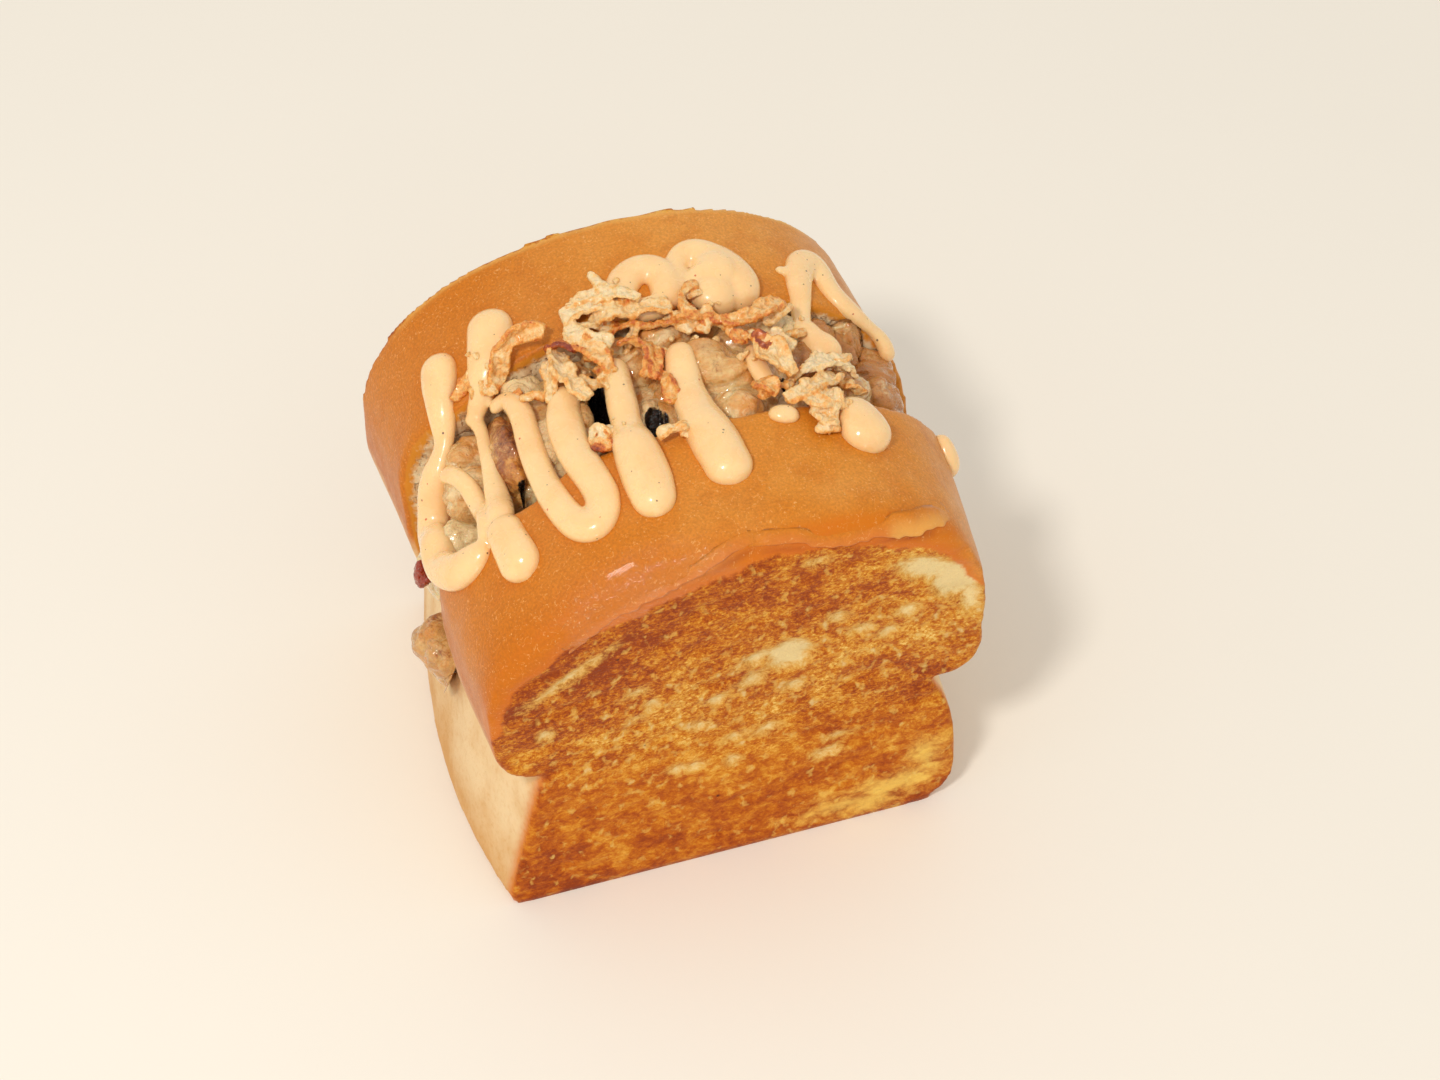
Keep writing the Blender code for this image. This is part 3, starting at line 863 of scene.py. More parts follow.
@dataclass(frozen=True)
class ChickenFinish:
    """Grilled chicken: tan fibres, charred tops, a creamy film in the hollows and painted shade in the
    gaps between pieces.
    """

    tan: Colour = paint(226, 162, 84)
    pale: Colour = paint(242, 202, 138)
    gold: Colour = paint(228, 144, 46)
    brown: Colour = paint(186, 114, 42)
    char: Colour = paint(92, 56, 52)
    ember: Colour = paint(160, 80, 36)
    cream: Colour = paint(250, 222, 168)
    dark: Colour = paint(22, 10, 6)
    pepper: Colour = paint(156, 50, 18)

    def material(self) -> bpy.types.Material:
        """The whole finish.

        Returns:
            The material.
        """
        graph = Graph("grilled_chicken")
        pushed = graph.place.warp(3.0, 0.9)
        broad, fine = pushed.noise(4.5, 3.0, 0.6), pushed.noise(0.9, 4.0, 0.7)
        fibre = pushed.stretch((0.35, 1.0, 1.0)).noise(0.7, 2.0, 0.6)
        colour = graph.mix((broad * 0.6 + fibre * 0.4).step(0.32, 0.6), self.tan, self.pale)
        colour = graph.mix(graph.place.noise(8.0).step(0.48, 0.62, 0.0, 0.6), colour, self.gold)
        sear = fine * 0.5 + graph.value("sear") + (broad - 0.5) * 0.8
        colour = graph.mix(sear.step(0.5, 1.05, 0.0, 0.9), colour, self.brown)
        film = graph.place.warp(2.0, 1.0).noise(2.4, 3.0, 0.6)
        cream = film + graph.value("film") - graph.value("char")
        colour = graph.mix(cream.step(0.58, 0.8, 0.0, 0.75), colour, self.cream)
        scorch = fine * 0.5 + graph.value("char") + broad * 0.6
        colour = graph.mix(scorch.step(0.8, 1.0, 0.0, 0.8), colour, self.ember)
        colour = graph.mix(scorch.step(0.98, 1.15, 0.0, 0.9), colour, self.char)
        colour = graph.mix(graph.value("pepper"), colour, self.pepper)
        # painted shade: near black in the hollows and deep in the slit; it also darkens some chunks all
        # over
        graph.dress("Base Color", graph.mix(graph.value("deep").step(0.25, 0.75), colour, self.dark))
        graph.dress("Roughness", film.step(0.3, 0.7, 0.4, 0.2))
        graph.dress("Specular IOR Level", 0.25)
        graph.dress("Normal", graph.bump(fibre, 0.3, graph.bump(fine, 0.5)))
        graph.soften(0.25, (1.0, 0.5, 0.3), 1.5)
        graph.coat(film.step(0.35, 0.55, 0.5, 1.0), 0.05, 1.5, graph.bump(pushed.noise(1.5), 0.4))
        return graph.material


@dataclass(frozen=True)
class OnionFinish:
    """Fried onion: pale and crumbly in the middle, golden to brown along its edges."""

    tones: tuple[tuple[float, Colour], ...] = (
        (0.0, paint(255, 226, 178)),
        (0.22, paint(254, 206, 138)),
        (0.45, paint(244, 168, 76)),
        (0.68, paint(216, 112, 38)),
        (0.95, paint(142, 50, 20)),
    )

    def material(self) -> bpy.types.Material:
        """The whole finish.

        Returns:
            The material.
        """
        graph = Graph("crispy_onion")
        wave = graph.place.warp(2.0, 0.6).noise(1.7, 4.0, 0.65)
        fine = graph.place.noise(0.45, 3.0, 0.7)
        blister = graph.place.warp(1.5, 0.4).cells(1.1)[0]
        share = wave * 0.9 + fine * 0.3 + graph.value("fried") * 0.8 - blister * 0.25
        share = share + graph.sum("POWER", graph.value("rim"), 4.0) * 0.22
        graph.dress("Base Color", graph.ramp(share.step(0.3, 1.7), self.tones))
        graph.dress("Roughness", wave.step(0.3, 0.7, 0.3, 0.5))
        graph.dress("Normal", graph.bump(fine, 0.25, graph.bump(blister, 0.5)))
        graph.coat(0.35, 0.1, 1.5)
        graph.soften(0.25, (1.0, 0.6, 0.35), 1.0)
        return graph.material


@dataclass(frozen=True)
class FloorFinish:
    """A plain cream table."""

    cream: Colour = paint(245, 238, 226)
    cool: Colour = paint(243, 236, 224)

    def material(self) -> bpy.types.Material:
        """The whole finish.

        Returns:
            The material.
        """
        graph = Graph("cream_table")
        graph.dress("Base Color", graph.mix(graph.place.noise(90.0), self.cream, self.cool))
        graph.dress("Roughness", 0.9)
        graph.dress("Specular IOR Level", 0.1)
        return graph.material


# ---- the loaf's form


@dataclass(frozen=True)
class Side:
    """One side of the slice. Its reaches out from the middle are at the front, the widest and the
    back section: of the pan-baked base, of the waist and of the cap that mushrooms over it."""

    sign: int
    base: Triple
    waist: Triple
    cap: Triple
    swell: float
    corner: float
    wall_power: float
    lip_z: float
    cap_z: float
    dome_front: float
    dome_back: float
    roll_depth: float
    roll_share: float


@dataclass(frozen=True)
class LoafForm:
    """The slice's driving dimensions, and the surfaces that follow from them."""

    left: Side = Side(-1, (47.5, 52.2, 44.5), (38.5, 44, 42), (48.6, 49.8, 52.7), 2, 3, 1.2, 52, 57, 2,
                      2.1, 13, 0.42)
    right: Side = Side(1, (44.8, 47, 44), (38.5, 43, 39), (49, 52.6, 49), 1.3, 9, 4, 46, 54, 2.6, 2.25,
                       5, 0.09)
    front_y: float = -39.3
    widest_y: float = -6.0
    back_y: float = 41.0
    front_foot: float = 1.8
    back_lean: float = 5.0
    waist_z: float = 37.0
    lip_power: float = 2.4
    crown_front: float = 91.0
    crown_back: float = 93.6
    slit_y: float = 2.0
    slit_root: float = 21.0
    slit_top: float = 92.0
    slit_front: float = 11.5
    slit_back: float = 18.0
    slit_power: float = 0.75
    flare: float = 9.0
    flare_x: Pair = (-38.0, -51.0)
    front_flare: float = 4.0
    front_flare_x: Pair = (-21.0, -33.0)
    front_close: float = 2.0
    front_close_x: Pair = (-43.0, -49.0)

    def side(self, x: float) -> Side:
        """The side that this X is on."""
        return self.left if x < 0 else self.right

    def reach(self, side: Side, reaches: Triple, y: float) -> float:
        """How far a part of the side reaches out at depth y.

        Args:
            side: The side.
            reaches: Its front, widest and back reach.
            y: The depth.

        Returns:
            The reach.
        """
        front, widest, back = reaches
        end, end_y = (front, self.front_y) if y < self.widest_y else (back, self.back_y)
        return between(widest, end, ((y - self.widest_y) / (end_y - self.widest_y)) ** side.swell)

    def along(self, y: float) -> float:
        """0 at the front cut face, 1 at the back one."""
        return (y - self.front_y) / (self.back_y - self.front_y)

    def roll_keep(self, x: float, y: float) -> float:
        """The share of its height that the dome keeps where the crust rolls over the front.

        Args:
            x: A point of the plan.
            y: Its depth.

        Returns:
            The share, from 0 to 1.
        """
        right = min(max(0.5 + 0.5 * x / self.right.cap[1], 0.0), 1.0)
        depth = between(self.left.roll_depth, self.right.roll_depth, right)
        into = min(max(1.0 - (y - self.front_y) / depth, 0.0), 1.0)
        fall = 1.0 - math.sqrt(1.0 - into**2)
        return 1.0 - fall * between(self.left.roll_share, self.right.roll_share, right)

    def dome_power(self, side: Side, y: float) -> float:
        """The power of the dome's superellipse at depth y."""
        return between(side.dome_front, side.dome_back, self.along(y))

    def crust_height(self, x: float, y: float) -> float:
        """Height of the domed crust over a point of the plan, before the back leans.

        Args:
            x: A point of the plan.
            y: Its depth.

        Returns:
            The height.
        """
        side = self.side(x)
        power = self.dome_power(side, y)
        share = min(abs(x) / self.reach(side, side.cap, y), 1.0)
        shape = (1.0 - share**power) ** (1.0 / power)
        crown = between(self.crown_front, self.crown_back, self.along(y))
        return between(side.cap_z, crown, shape * self.roll_keep(x, y))

    def side_half(self, side: Side, y: float, z: float) -> float:
        """Half width of the slice below the widest part of its cap.

        Args:
            side: The side.
            y: The depth.
            z: The height.

        Returns:
            The half width.
        """
        waist = self.reach(side, side.waist, y)
        if z <= self.waist_z:
            return between(self.reach(side, side.base, y), waist, (z / self.waist_z) ** side.wall_power)
        up = min((z - self.waist_z) / (side.lip_z - self.waist_z), 1.0)
        out = (1.0 - (1.0 - up) ** self.lip_power) ** (1.0 / self.lip_power)
        return between(waist, self.reach(side, side.cap, y), out)

    def outline(self, side: Side, y: float, fine: int) -> list[Pair]:
        """The slice's outline at depth y from its bottom to its ridge, on one side.

        Args:
            side: The side to trace.
            y: The section's depth.
            fine: How many steps the dome takes; the rest is in proportion.

        Returns:
            (x, z) pairs.
        """
        quarter = math.radians(90.0)
        corner = side.corner
        points = []
        for share in np.linspace(0.0, 1.0, fine // 6, endpoint=False):
            z = corner * (1.0 - math.cos(quarter * share))
            points.append((self.side_half(side, y, z) - corner * (1.0 - math.sin(quarter * share)), z))
        for share in np.linspace(0.0, 1.0, fine // 2):
            z = between(corner, self.waist_z, math.sin(quarter * share))
            points.append((self.side_half(side, y, z), z))
        for share in np.linspace(0.0, 1.0, fine // 3)[1:]:
            up = 1.0 - math.cos(quarter * share) ** (2.0 / self.lip_power)
            z = between(self.waist_z, side.lip_z, up)
            points.append((self.side_half(side, y, z), z))
        power = self.dome_power(side, y)
        for share in np.linspace(0.0, 1.0, fine):
            x = self.reach(side, side.cap, y) * max(math.cos(quarter * share), 0.0) ** (2.0 / power)
            points.append((x, self.crust_height(side.sign * x, y)))
        return [(side.sign * x, z) for x, z in points]

    def front_plane(self, z: Any) -> Any:
        """Y of the front cut face at height z."""
        return self.front_y - self.front_foot * np.maximum(1.0 - z / self.waist_z, 0.0)

    def back_plane(self, z: Any) -> Any:
        """Y of the back cut face at height z."""
        return self.back_y + self.back_lean * z / self.crown_back

    def leaned(self, y: float, z: float) -> float:
        """Y after the back half leans back, most at its top, and the front foot stands out."""
        foot = self.front_foot * max(y / self.front_y, 0.0) * max(1.0 - z / self.waist_z, 0.0)
        return y + self.back_lean * max(y / self.back_y, 0.0) * z / self.crown_back - foot

    def slit_wall(self, z: Any, edge: Edge, x: Any = 0.0) -> Any:
        """Y of the slit's front or back wall at height z; both open out towards the left end.

        Args:
            z: The height.
            edge: Which wall.
            x: The place along the slit.

        Returns:
            The wall's Y.
        """
        up = np.maximum(z - self.slit_root, 0.0) / (self.slit_top - self.slit_root)
        if edge is Edge.FRONT:
            spread = self.slit_front + self.front_flare * ease(x, *self.front_flare_x)
            spread = spread - self.front_close * ease(x, *self.front_close_x)
        else:
            spread = self.slit_back + self.flare * ease(x, *self.flare_x)
        return self.slit_y + edge.value * spread * up**self.slit_power

    def upright(self, y: float, z: float) -> float:
        """The depth before the back half leans back, for a point at depth y and height z."""
        return y / (1.0 + self.back_lean / self.back_y * z / self.crown_back) if y > 0 else y


@dataclass(frozen=True)
class HeapForm:
    """The filling's height along the slit."""

    along: tuple[float, ...] = (-49, -44, -38, -28, -15, 0, 12, 24, 34, 41, 46, 49)
    heights: tuple[float, ...] = (54, 64, 72, 81, 85, 86, 87, 84, 78, 70, 60, 50)
    sauce_rise: float = 5.5

    def height(self, x: Any) -> Any:
        """Height of the heap's bare core at X."""
        return np.interp(x, self.along, self.heights)

    def level(self, form: LoafForm, x: float, y: float) -> float:
        """The height at which a topping lies: the crust, or the heap where the slit is open.

        Args:
            form: The loaf's form.
            x: A point of the plan.
            y: Its depth.

        Returns:
            The height.
        """
        crust = form.crust_height(x, form.upright(y, form.crown_back))
        if form.slit_wall(crust, Edge.FRONT) < y < form.slit_wall(crust, Edge.BACK):
            return min(float(self.height(x)) + self.sauce_rise, crust)
        return crust


@dataclass(frozen=True)
class Patch:
    """A patch of the toasted face: its middle, its half sizes and its turn in degrees."""

    x: float
    z: float
    half_x: float
    half_z: float
    turn: float = 0.0

    def inside(self, points: Array) -> Array:
        """About how many millimetres each point is inside the patch, less than 0 outside.

        Args:
            points: The places.

        Returns:
            One number for each point.
        """
        angle = math.radians(self.turn)
        along_x, along_z = points[:, 0] - self.x, points[:, 2] - self.z
        across = (along_x * math.cos(angle) + along_z * math.sin(angle)) / self.half_x
        up = (along_z * math.cos(angle) - along_x * math.sin(angle)) / self.half_z
        return (1.0 - np.hypot(across, up)) * min(self.half_x, self.half_z)


def deepest(patches: Iterable[Patch], points: Array) -> Array:
    """How far each point is inside the patch that holds it deepest."""
    return np.max([patch.inside(points) for patch in patches], axis=0)


def skin_tree(mesh: Mesh) -> BVHTree:
    """The outer skin of an uncut loaf, without its flat front and back faces, in millimetres."""
    faces = [tuple(face.vertices) for face in mesh.polygons if abs(face.normal.y) < 0.9]
    return BVHTree.FromPolygons([vert.co / MM for vert in mesh.vertices], faces)


@dataclass
class Loaf:
    """The slit brioche slice."""

    form: LoafForm = field(default_factory=LoafForm)
    fine: int = 72
    stations: int = 64
    voxel: float = 0.9
    smoothing: int = 3
    pore_depth: float = 0.75
    pit_depth: float = 0.45
    ridge_rise: float = 0.35
    groove_depth: float = 0.6
    bow: float = 0.0045
    bow_z: float = 90.0
    slit_half_length: float = 70.0
    slit_reach: float = 1.5
    pale_patches: tuple[Patch, ...] = (
        Patch(9.8, 55.8, 5, 4.4, -10), Patch(3.2, 57, 4.2, 1.7, 20), Patch(2.8, 51, 2.4, 1.7, 10),
        Patch(19.2, 63.8, 2.2, 1.3), Patch(15, 81, 2, 0.9, -5), Patch(36.5, 71.2, 7.4, 3.2, -30),
        Patch(42.6, 65.8, 6, 4.8, -52), Patch(45.6, 60, 2.2, 5.6, 8), Patch(-33, 64.8, 7.4, 1.1, 34),
        Patch(-38.2, 49.4, 1.5, 1.5), Patch(29.5, 55.5, 2.4, 1.6), Patch(24, 58.5, 2.4, 1.4),
        Patch(33, 60.5, 2.6, 1.6), Patch(-20.5, 55.4, 1.9, 0.9, 15), Patch(-17.2, 50.8, 1.5, 1.5, 40),
        Patch(-20.4, 47.8, 1.4, 0.9, 20), Patch(-4.4, 47.4, 2.2, 1.7), Patch(0.8, 50.4, 1.7, 0.8),
        Patch(10.6, 46.2, 2.2, 1.3), Patch(-8.2, 41, 2.2, 1.1), Patch(-12.6, 29.4, 1.9, 1.3),
        Patch(-9.4, 29.2, 1.8, 1.2, 10), Patch(-1.2, 34.8, 2.4, 1.1, 12), Patch(5.4, 34.6, 2.6, 1.4, 12),
        Patch(-1.6, 28, 1.6, 1.5), Patch(20.2, 27.4, 2.2, 1), Patch(17.4, 23.2, 2.8, 1.5),
    )
    butter_patches: tuple[Patch, ...] = (
        Patch(24, 5, 8, 1.9, -2), Patch(32.5, 9, 7.5, 2.8, 18), Patch(38.8, 14.5, 3.6, 4.8, 30),
    )
    tones: tuple[tuple[float, float, float, float, float], ...] = (
        (34, 38, 12, 8, 0.16),
        (-24, 32, 12, 10, 0.08),
        (2, 27, 9, 8, -0.05),
        (-32, 70, 6, 3, -0.14),
        (-46, 51, 3, 4, -0.08),
    )
    hem_x: tuple[float, ...] = (-38, -30, -25, -19, -12, -5, 2, 10, 18, 28, 36)
    hem_width: tuple[float, ...] = (3.2, 3.3, 3.6, 4.6, 5.0, 4.4, 2.6, 2.0, 2.4, 3.8, 3.5)
    crease_right: tuple[Triple, ...] = (
        (2, -36.8, 87.9), (5.1, -37.3, 87.7), (8.5, -37.6, 87.4), (11.3, -38, 86.9), (14.9, -38.8, 85.2),
        (19.8, -39, 84.5), (25.6, -38.8, 84.3), (30.8, -38.5, 83.6), (36, -37.4, 82), (39.7, -36.3, 80.3),
        (42.2, -33, 78.7),
    )
    crease_left: tuple[Triple, ...] = (
        (-33, -40.2, 72.5), (-26.7, -39.4, 77.4), (-19.1, -39.1, 80.7), (-12.3, -39, 82.7),
        (-7.3, -38.5, 84.7), (-2.5, -37.4, 87.0), (3, -36.6, 88.4), (5.1, -35.8, 89.2),
    )

    def solid(self) -> Piece:
        """The slice with its slit, as one even skin.

        Returns:
            The slice, without its relief.
        """
        rings = []
        for share in np.linspace(0.0, 1.0, self.stations) ** 1.4:
            y = between(self.form.front_y, self.form.back_y, share)
            right = self.form.outline(self.form.right, y, self.fine)
            left = self.form.outline(self.form.left, y, self.fine)[:-1]
            rings.append(np.array([(x, self.form.leaned(y, z), z) for x, z in right + left[::-1]]))
        bread = new_piece("brioche_loaf", loft("brioche_loaf", rings))
        self.skin = skin_tree(bread.data)
        top = between(self.form.slit_root, self.form.slit_top, self.slit_reach)
        heights = between(self.form.slit_root, top, np.linspace(0.0, 1.0, 40) ** 2)
        wedge = []
        bends = np.linspace(self.form.flare_x[1], self.form.front_flare_x[0], 25)
        for x in (-self.slit_half_length, *bends, self.slit_half_length):
            front = [(x, float(self.form.slit_wall(z, Edge.FRONT, x)), z) for z in heights]
            back = [(x, float(self.form.slit_wall(z, Edge.BACK, x)), z) for z in heights[:0:-1]]
            wedge.append(np.array(front + back))
        knife = new_piece("slit", loft("slit", wedge))
        cut = bread.modifiers.new("slit", "BOOLEAN")
        cut.operation = "DIFFERENCE"
        cut.solver = "MANIFOLD"
        cut.object = knife
        remeshed(bread, self.voxel, self.smoothing)
        bpy.data.objects.remove(knife)
        return bread

    def depths(self, points: Array) -> tuple[Array, Array, Array]:
        """How far each point is behind the front face, before the back face and from the slit.

        Args:
            points: The places.

        Returns:
            The three distances.
        """
        y, z = points[:, 1], points[:, 2]
        front = y - self.form.front_plane(z)
        back = self.form.back_plane(z) - y
        to_front_wall = self.form.slit_wall(z, Edge.FRONT, points[:, 0]) - y
        to_back_wall = y - self.form.slit_wall(z, Edge.BACK, points[:, 0])
        wall = np.where(z > self.form.slit_root - 1.0, np.maximum(to_front_wall, to_back_wall), 9.0)
        return front, back, wall

    def flow(self, points: Array) -> Array:
        """The height that the toasted grain follows as it bows up towards both sides."""
        x, _, z = points.T
        return z + self.bow * x**2 * np.clip(z / self.bow_z, 0.0, 1.0)

    def crease_profile(self, points: Array) -> tuple[Array, Array]:
        """The fold where the crust's skin overlaps the front edge.

        Args:
            points: Places on the skin.

        Returns:
            The ridge's share and the share of the groove under it, each from 0 to 1.
        """
        ridge = np.zeros(len(points))
        groove = np.zeros(len(points))
        for line, strength, seed in ((self.crease_right, 1.0, 3), (self.crease_left, 0.75, 5)):
            away, along = distance_to_line(points, np.array(line))
            fade = ease(along, 0.0, 0.12) * ease(along, 1.0, 0.88)
            uneven = 0.75 + 0.45 * soft_noise(points, 4.0, seed)
            ridge = np.maximum(ridge, strength * fade * uneven * np.exp(-((away / 1.1) ** 2)))
            lower = points + np.array((0.0, 0.9, 1.5))
            away, along = distance_to_line(lower, np.array(line))
            groove = np.maximum(groove, strength * fade * uneven * np.exp(-((away / 0.8) ** 2)))
        return np.clip(ridge, 0.0, 1.0), np.clip(groove, 0.0, 1.0)

    def relieve(self, mesh: Mesh) -> None:
        """Gives the skin its waves, its fold, its pores and its crumb.

        Args:
            mesh: The slice's mesh, which is changed.
        """
        points, normals = points_of(mesh), normals_of(mesh)
        front, back, wall = self.depths(points)
        x, y, z = points.T
        on_front = ease(front, 1.6, 0.5) * ease(normals[:, 1], -0.4, -0.8)
        on_back = ease(back, 1.6, 0.5) * ease(normals[:, 1], 0.4, 0.8)
        skin = np.zeros(len(points))
        for index in np.nonzero(np.minimum.reduce([front, back, wall]) < 2.5)[0]:
            skin[index] = self.skin.find_nearest(Vector(points[index]))[3]
        on_wall = ease(wall, 1.4, 0.5) * ease(skin, 0.4, 3.0)
        on_base = ease(z, 1.4, 0.6)
        cut = np.maximum.reduce([on_front, on_back, on_wall])
        crust = (1.0 - cut) * (1.0 - on_base)
        streaked = np.stack([x * 0.42, self.flow(points), y * 0.5], 1)
        pale = deepest(self.pale_patches, points)
        grain = rough_noise(streaked, 2.6, 11)
        faces = 0.16 * grain + 0.10 * soft_noise(points, 1.9, 12)
        faces -= self.pore_depth * ease(pale, -0.4, 1.2) * on_front
        faces -= self.pit_depth * ease(soft_noise(streaked, 3.1, 13), 0.28, 0.6)
        move = np.maximum(on_front, on_back) * faces
        crumb = 0.35 * rough_noise(points, 3.2, 21) - 0.3 * ease(soft_noise(points, 2.2, 22), 0.2, 0.6)
        move += on_wall * crumb
        waves = 0.35 * soft_noise(points, 17.0, 31) + 0.12 * soft_noise(points, 6.0, 32)
        waves += 0.04 * soft_noise(points, 2.0, 33)
        ridge, groove = self.crease_profile(points)
        waves += self.ridge_rise * ridge - self.groove_depth * groove
        move += crust * waves
        points += normals * (move * (1.0 - on_base))[:, None]
        points[:, 2] = np.where(on_base > 0.5, np.minimum(points[:, 2], 0.0), points[:, 2])
        points[:, 2] = np.maximum(points[:, 2], 0.0)
        set_points(mesh, points)
        marks = self.marks(points)
        hem = np.interp(x, self.hem_x, self.hem_width) * ease(z, *np.where(x < 0, 49.0, 60.0) + [[0], [6]])
        far_in = np.where((front < 2.5) & (y < 0), skin, 9.0)
        face = np.minimum(0.9 - np.minimum(front, back), far_in - hem + 0.9)
        marks.update({"face": face, "inner": np.minimum(1.8 - wall, skin - 0.7), "skin": skin})
        for name, values in marks.items():
            put_values(mesh, name, values)

    def marks(self, points: Array) -> dict[str, Array]:
        """What the finish needs to know at each point of the skin.

        Args:
            points: The places.

        Returns:
            The numbers for each point, under the names that the finish reads.
        """
        x, y, z = points.T
        front = self.depths(points)[0]
        ridge, groove = self.crease_profile(points)
        lip = np.where(x < 0, 47.0, 44.0) + 2.0 * soft_noise(points, 9.0, 41)
        brown = 0.2 * ease(z, 42, 60) * ease(x, 14, -22) + 0.08 * ease(x, -10, -44)
        brown -= 0.1 * ease(x, 14, 42) * (z > 50)
        brown += 0.08 * ease(x, 12, 28) * ease(z, 30, 18)
        for place_x, place_z, half_x, half_z, more in self.tones:
            brown += more * np.exp(-(((x - place_x) / half_x) ** 2) - ((z - place_z) / half_z) ** 2)
        brown += 0.1 * ease(z, 26, 6) * ease(x, 26, -14) - 0.06 * np.exp(-(((z - 50.0) / 14.0) ** 2))
        brown += 0.12 * soft_noise(points, 13.0, 42) - 0.25 * ease(y, 0, 9)
        belt = np.exp(-(((z - 47.0 - 0.22 * x) / 17.0) ** 2)) * ease(x, -46, -30)
        rim = ease(front, 11.0, 2.0) * ease(z, 50.0, 60.0)
        band = ease(front, 4.5, 2.0) * ease(x, -8, 4) * ease(x, 47, 40)
        band = np.clip(band + 0.4 * ease(front, 7.0, 2.0) * ease(x, 8, -8), 0.0, 1.0)
        band += 0.8 * ease(np.hypot((x - 34.5) / 5.5, (z - 79.5) / 3.0), 1.3, 0.6) * (front < 4)
        band = np.clip(band + ease(x, -44, -47) * ease(front, 7.0, 3.0) * ease(z, 60, 54), 0.0, 1.0)
        return {
            "face": np.full(len(points), -9.0),
            "inner": np.full(len(points), -9.0),
            "skin": np.zeros(len(points)),
            "side": lip - z,
            "front": ease(y, 5.0, -5.0),
            "flow": self.flow(points),
            "pale": np.where(y < 0, deepest(self.pale_patches, points), -9.0),
            "butter": np.where(y < 0, deepest(self.butter_patches, points), -9.0),
            "browning": -np.minimum(brown, 0.34),
            "porous": np.clip(0.2 + 0.8 * belt, 0.0, 1.0),
            "blurred": ease(z + 0.12 * x, 44, 22),
            "shaded": ease(y, 5.0, -5.0) * ease(z, 50.0, 60.0),
            "baked": np.clip(0.3 * rim + 0.6 * ease(x, 12, -36) + 0.3 * ease(z, 62, 50), 0.0, 1.0),
            "rim": np.clip(front, -2.0, 8.0),
            # painted sheen: paler towards the crust's back and towards its right end
            "faded": 0.35 * ease(y, 10, 36) * ease(x, -30, 20) + 0.4 * ease(x, 30, 46),
            "caramel": band * (z > 50),
            "ridge": 0.6 * ridge,
            # painted shade in the groove under the fold
            "groove": groove,
            "glaze": ease(front, 4.4, 2.4) * ease(x, 4, -6) * ease(x, -38, -30) * ease(z, 66, 74),
            "hem": 0.8 * ease(self.form.back_plane(z) - y, 2.2, 0.6) * ease(z, 74, 82),
        }

    def build(self) -> Piece:
        """The finished slice.

        Returns:
            The piece.
        """
        bread = self.solid()
        self.relieve(bread.data)
        bread.data.materials.clear()
        bread.data.materials.append(BreadFinish().material())
        return bread


# ---- the filling


@dataclass(frozen=True)
class Chunk:
    """A piece of chicken: its place in plan, its top over the heap's level, its half sizes, its
    turn in degrees, and how charred, seared and creamy it is, each from 0 to 1. A chunk that
    shows at an end of the slit has its middle at a height of its own instead; one of them is a
    bit of red pepper, and some are made darker all over."""

    x: float
    y: float
    top: float
    half_x: float
    half_y: float
    half_z: float
    turn: float
    char: float = 0.0
    sear: float = 0.2
    film: float = 0.1
    low: float | None = None
    pepper: float = 0.0
    murk: float = 0.0


@dataclass(frozen=True)
class Hollow:
    """A sunken gap between the chunks, painted dark as shade: its middle and its half sizes in plan."""

    x: float
    y: float
    half_x: float
    half_y: float

    def away(self, points: Array) -> Array:
        """How far out from the gap's middle each point is, with its rim at 1."""
        return np.hypot((points[:, 0] - self.x) / self.half_x, (points[:, 1] - self.y) / self.half_y)


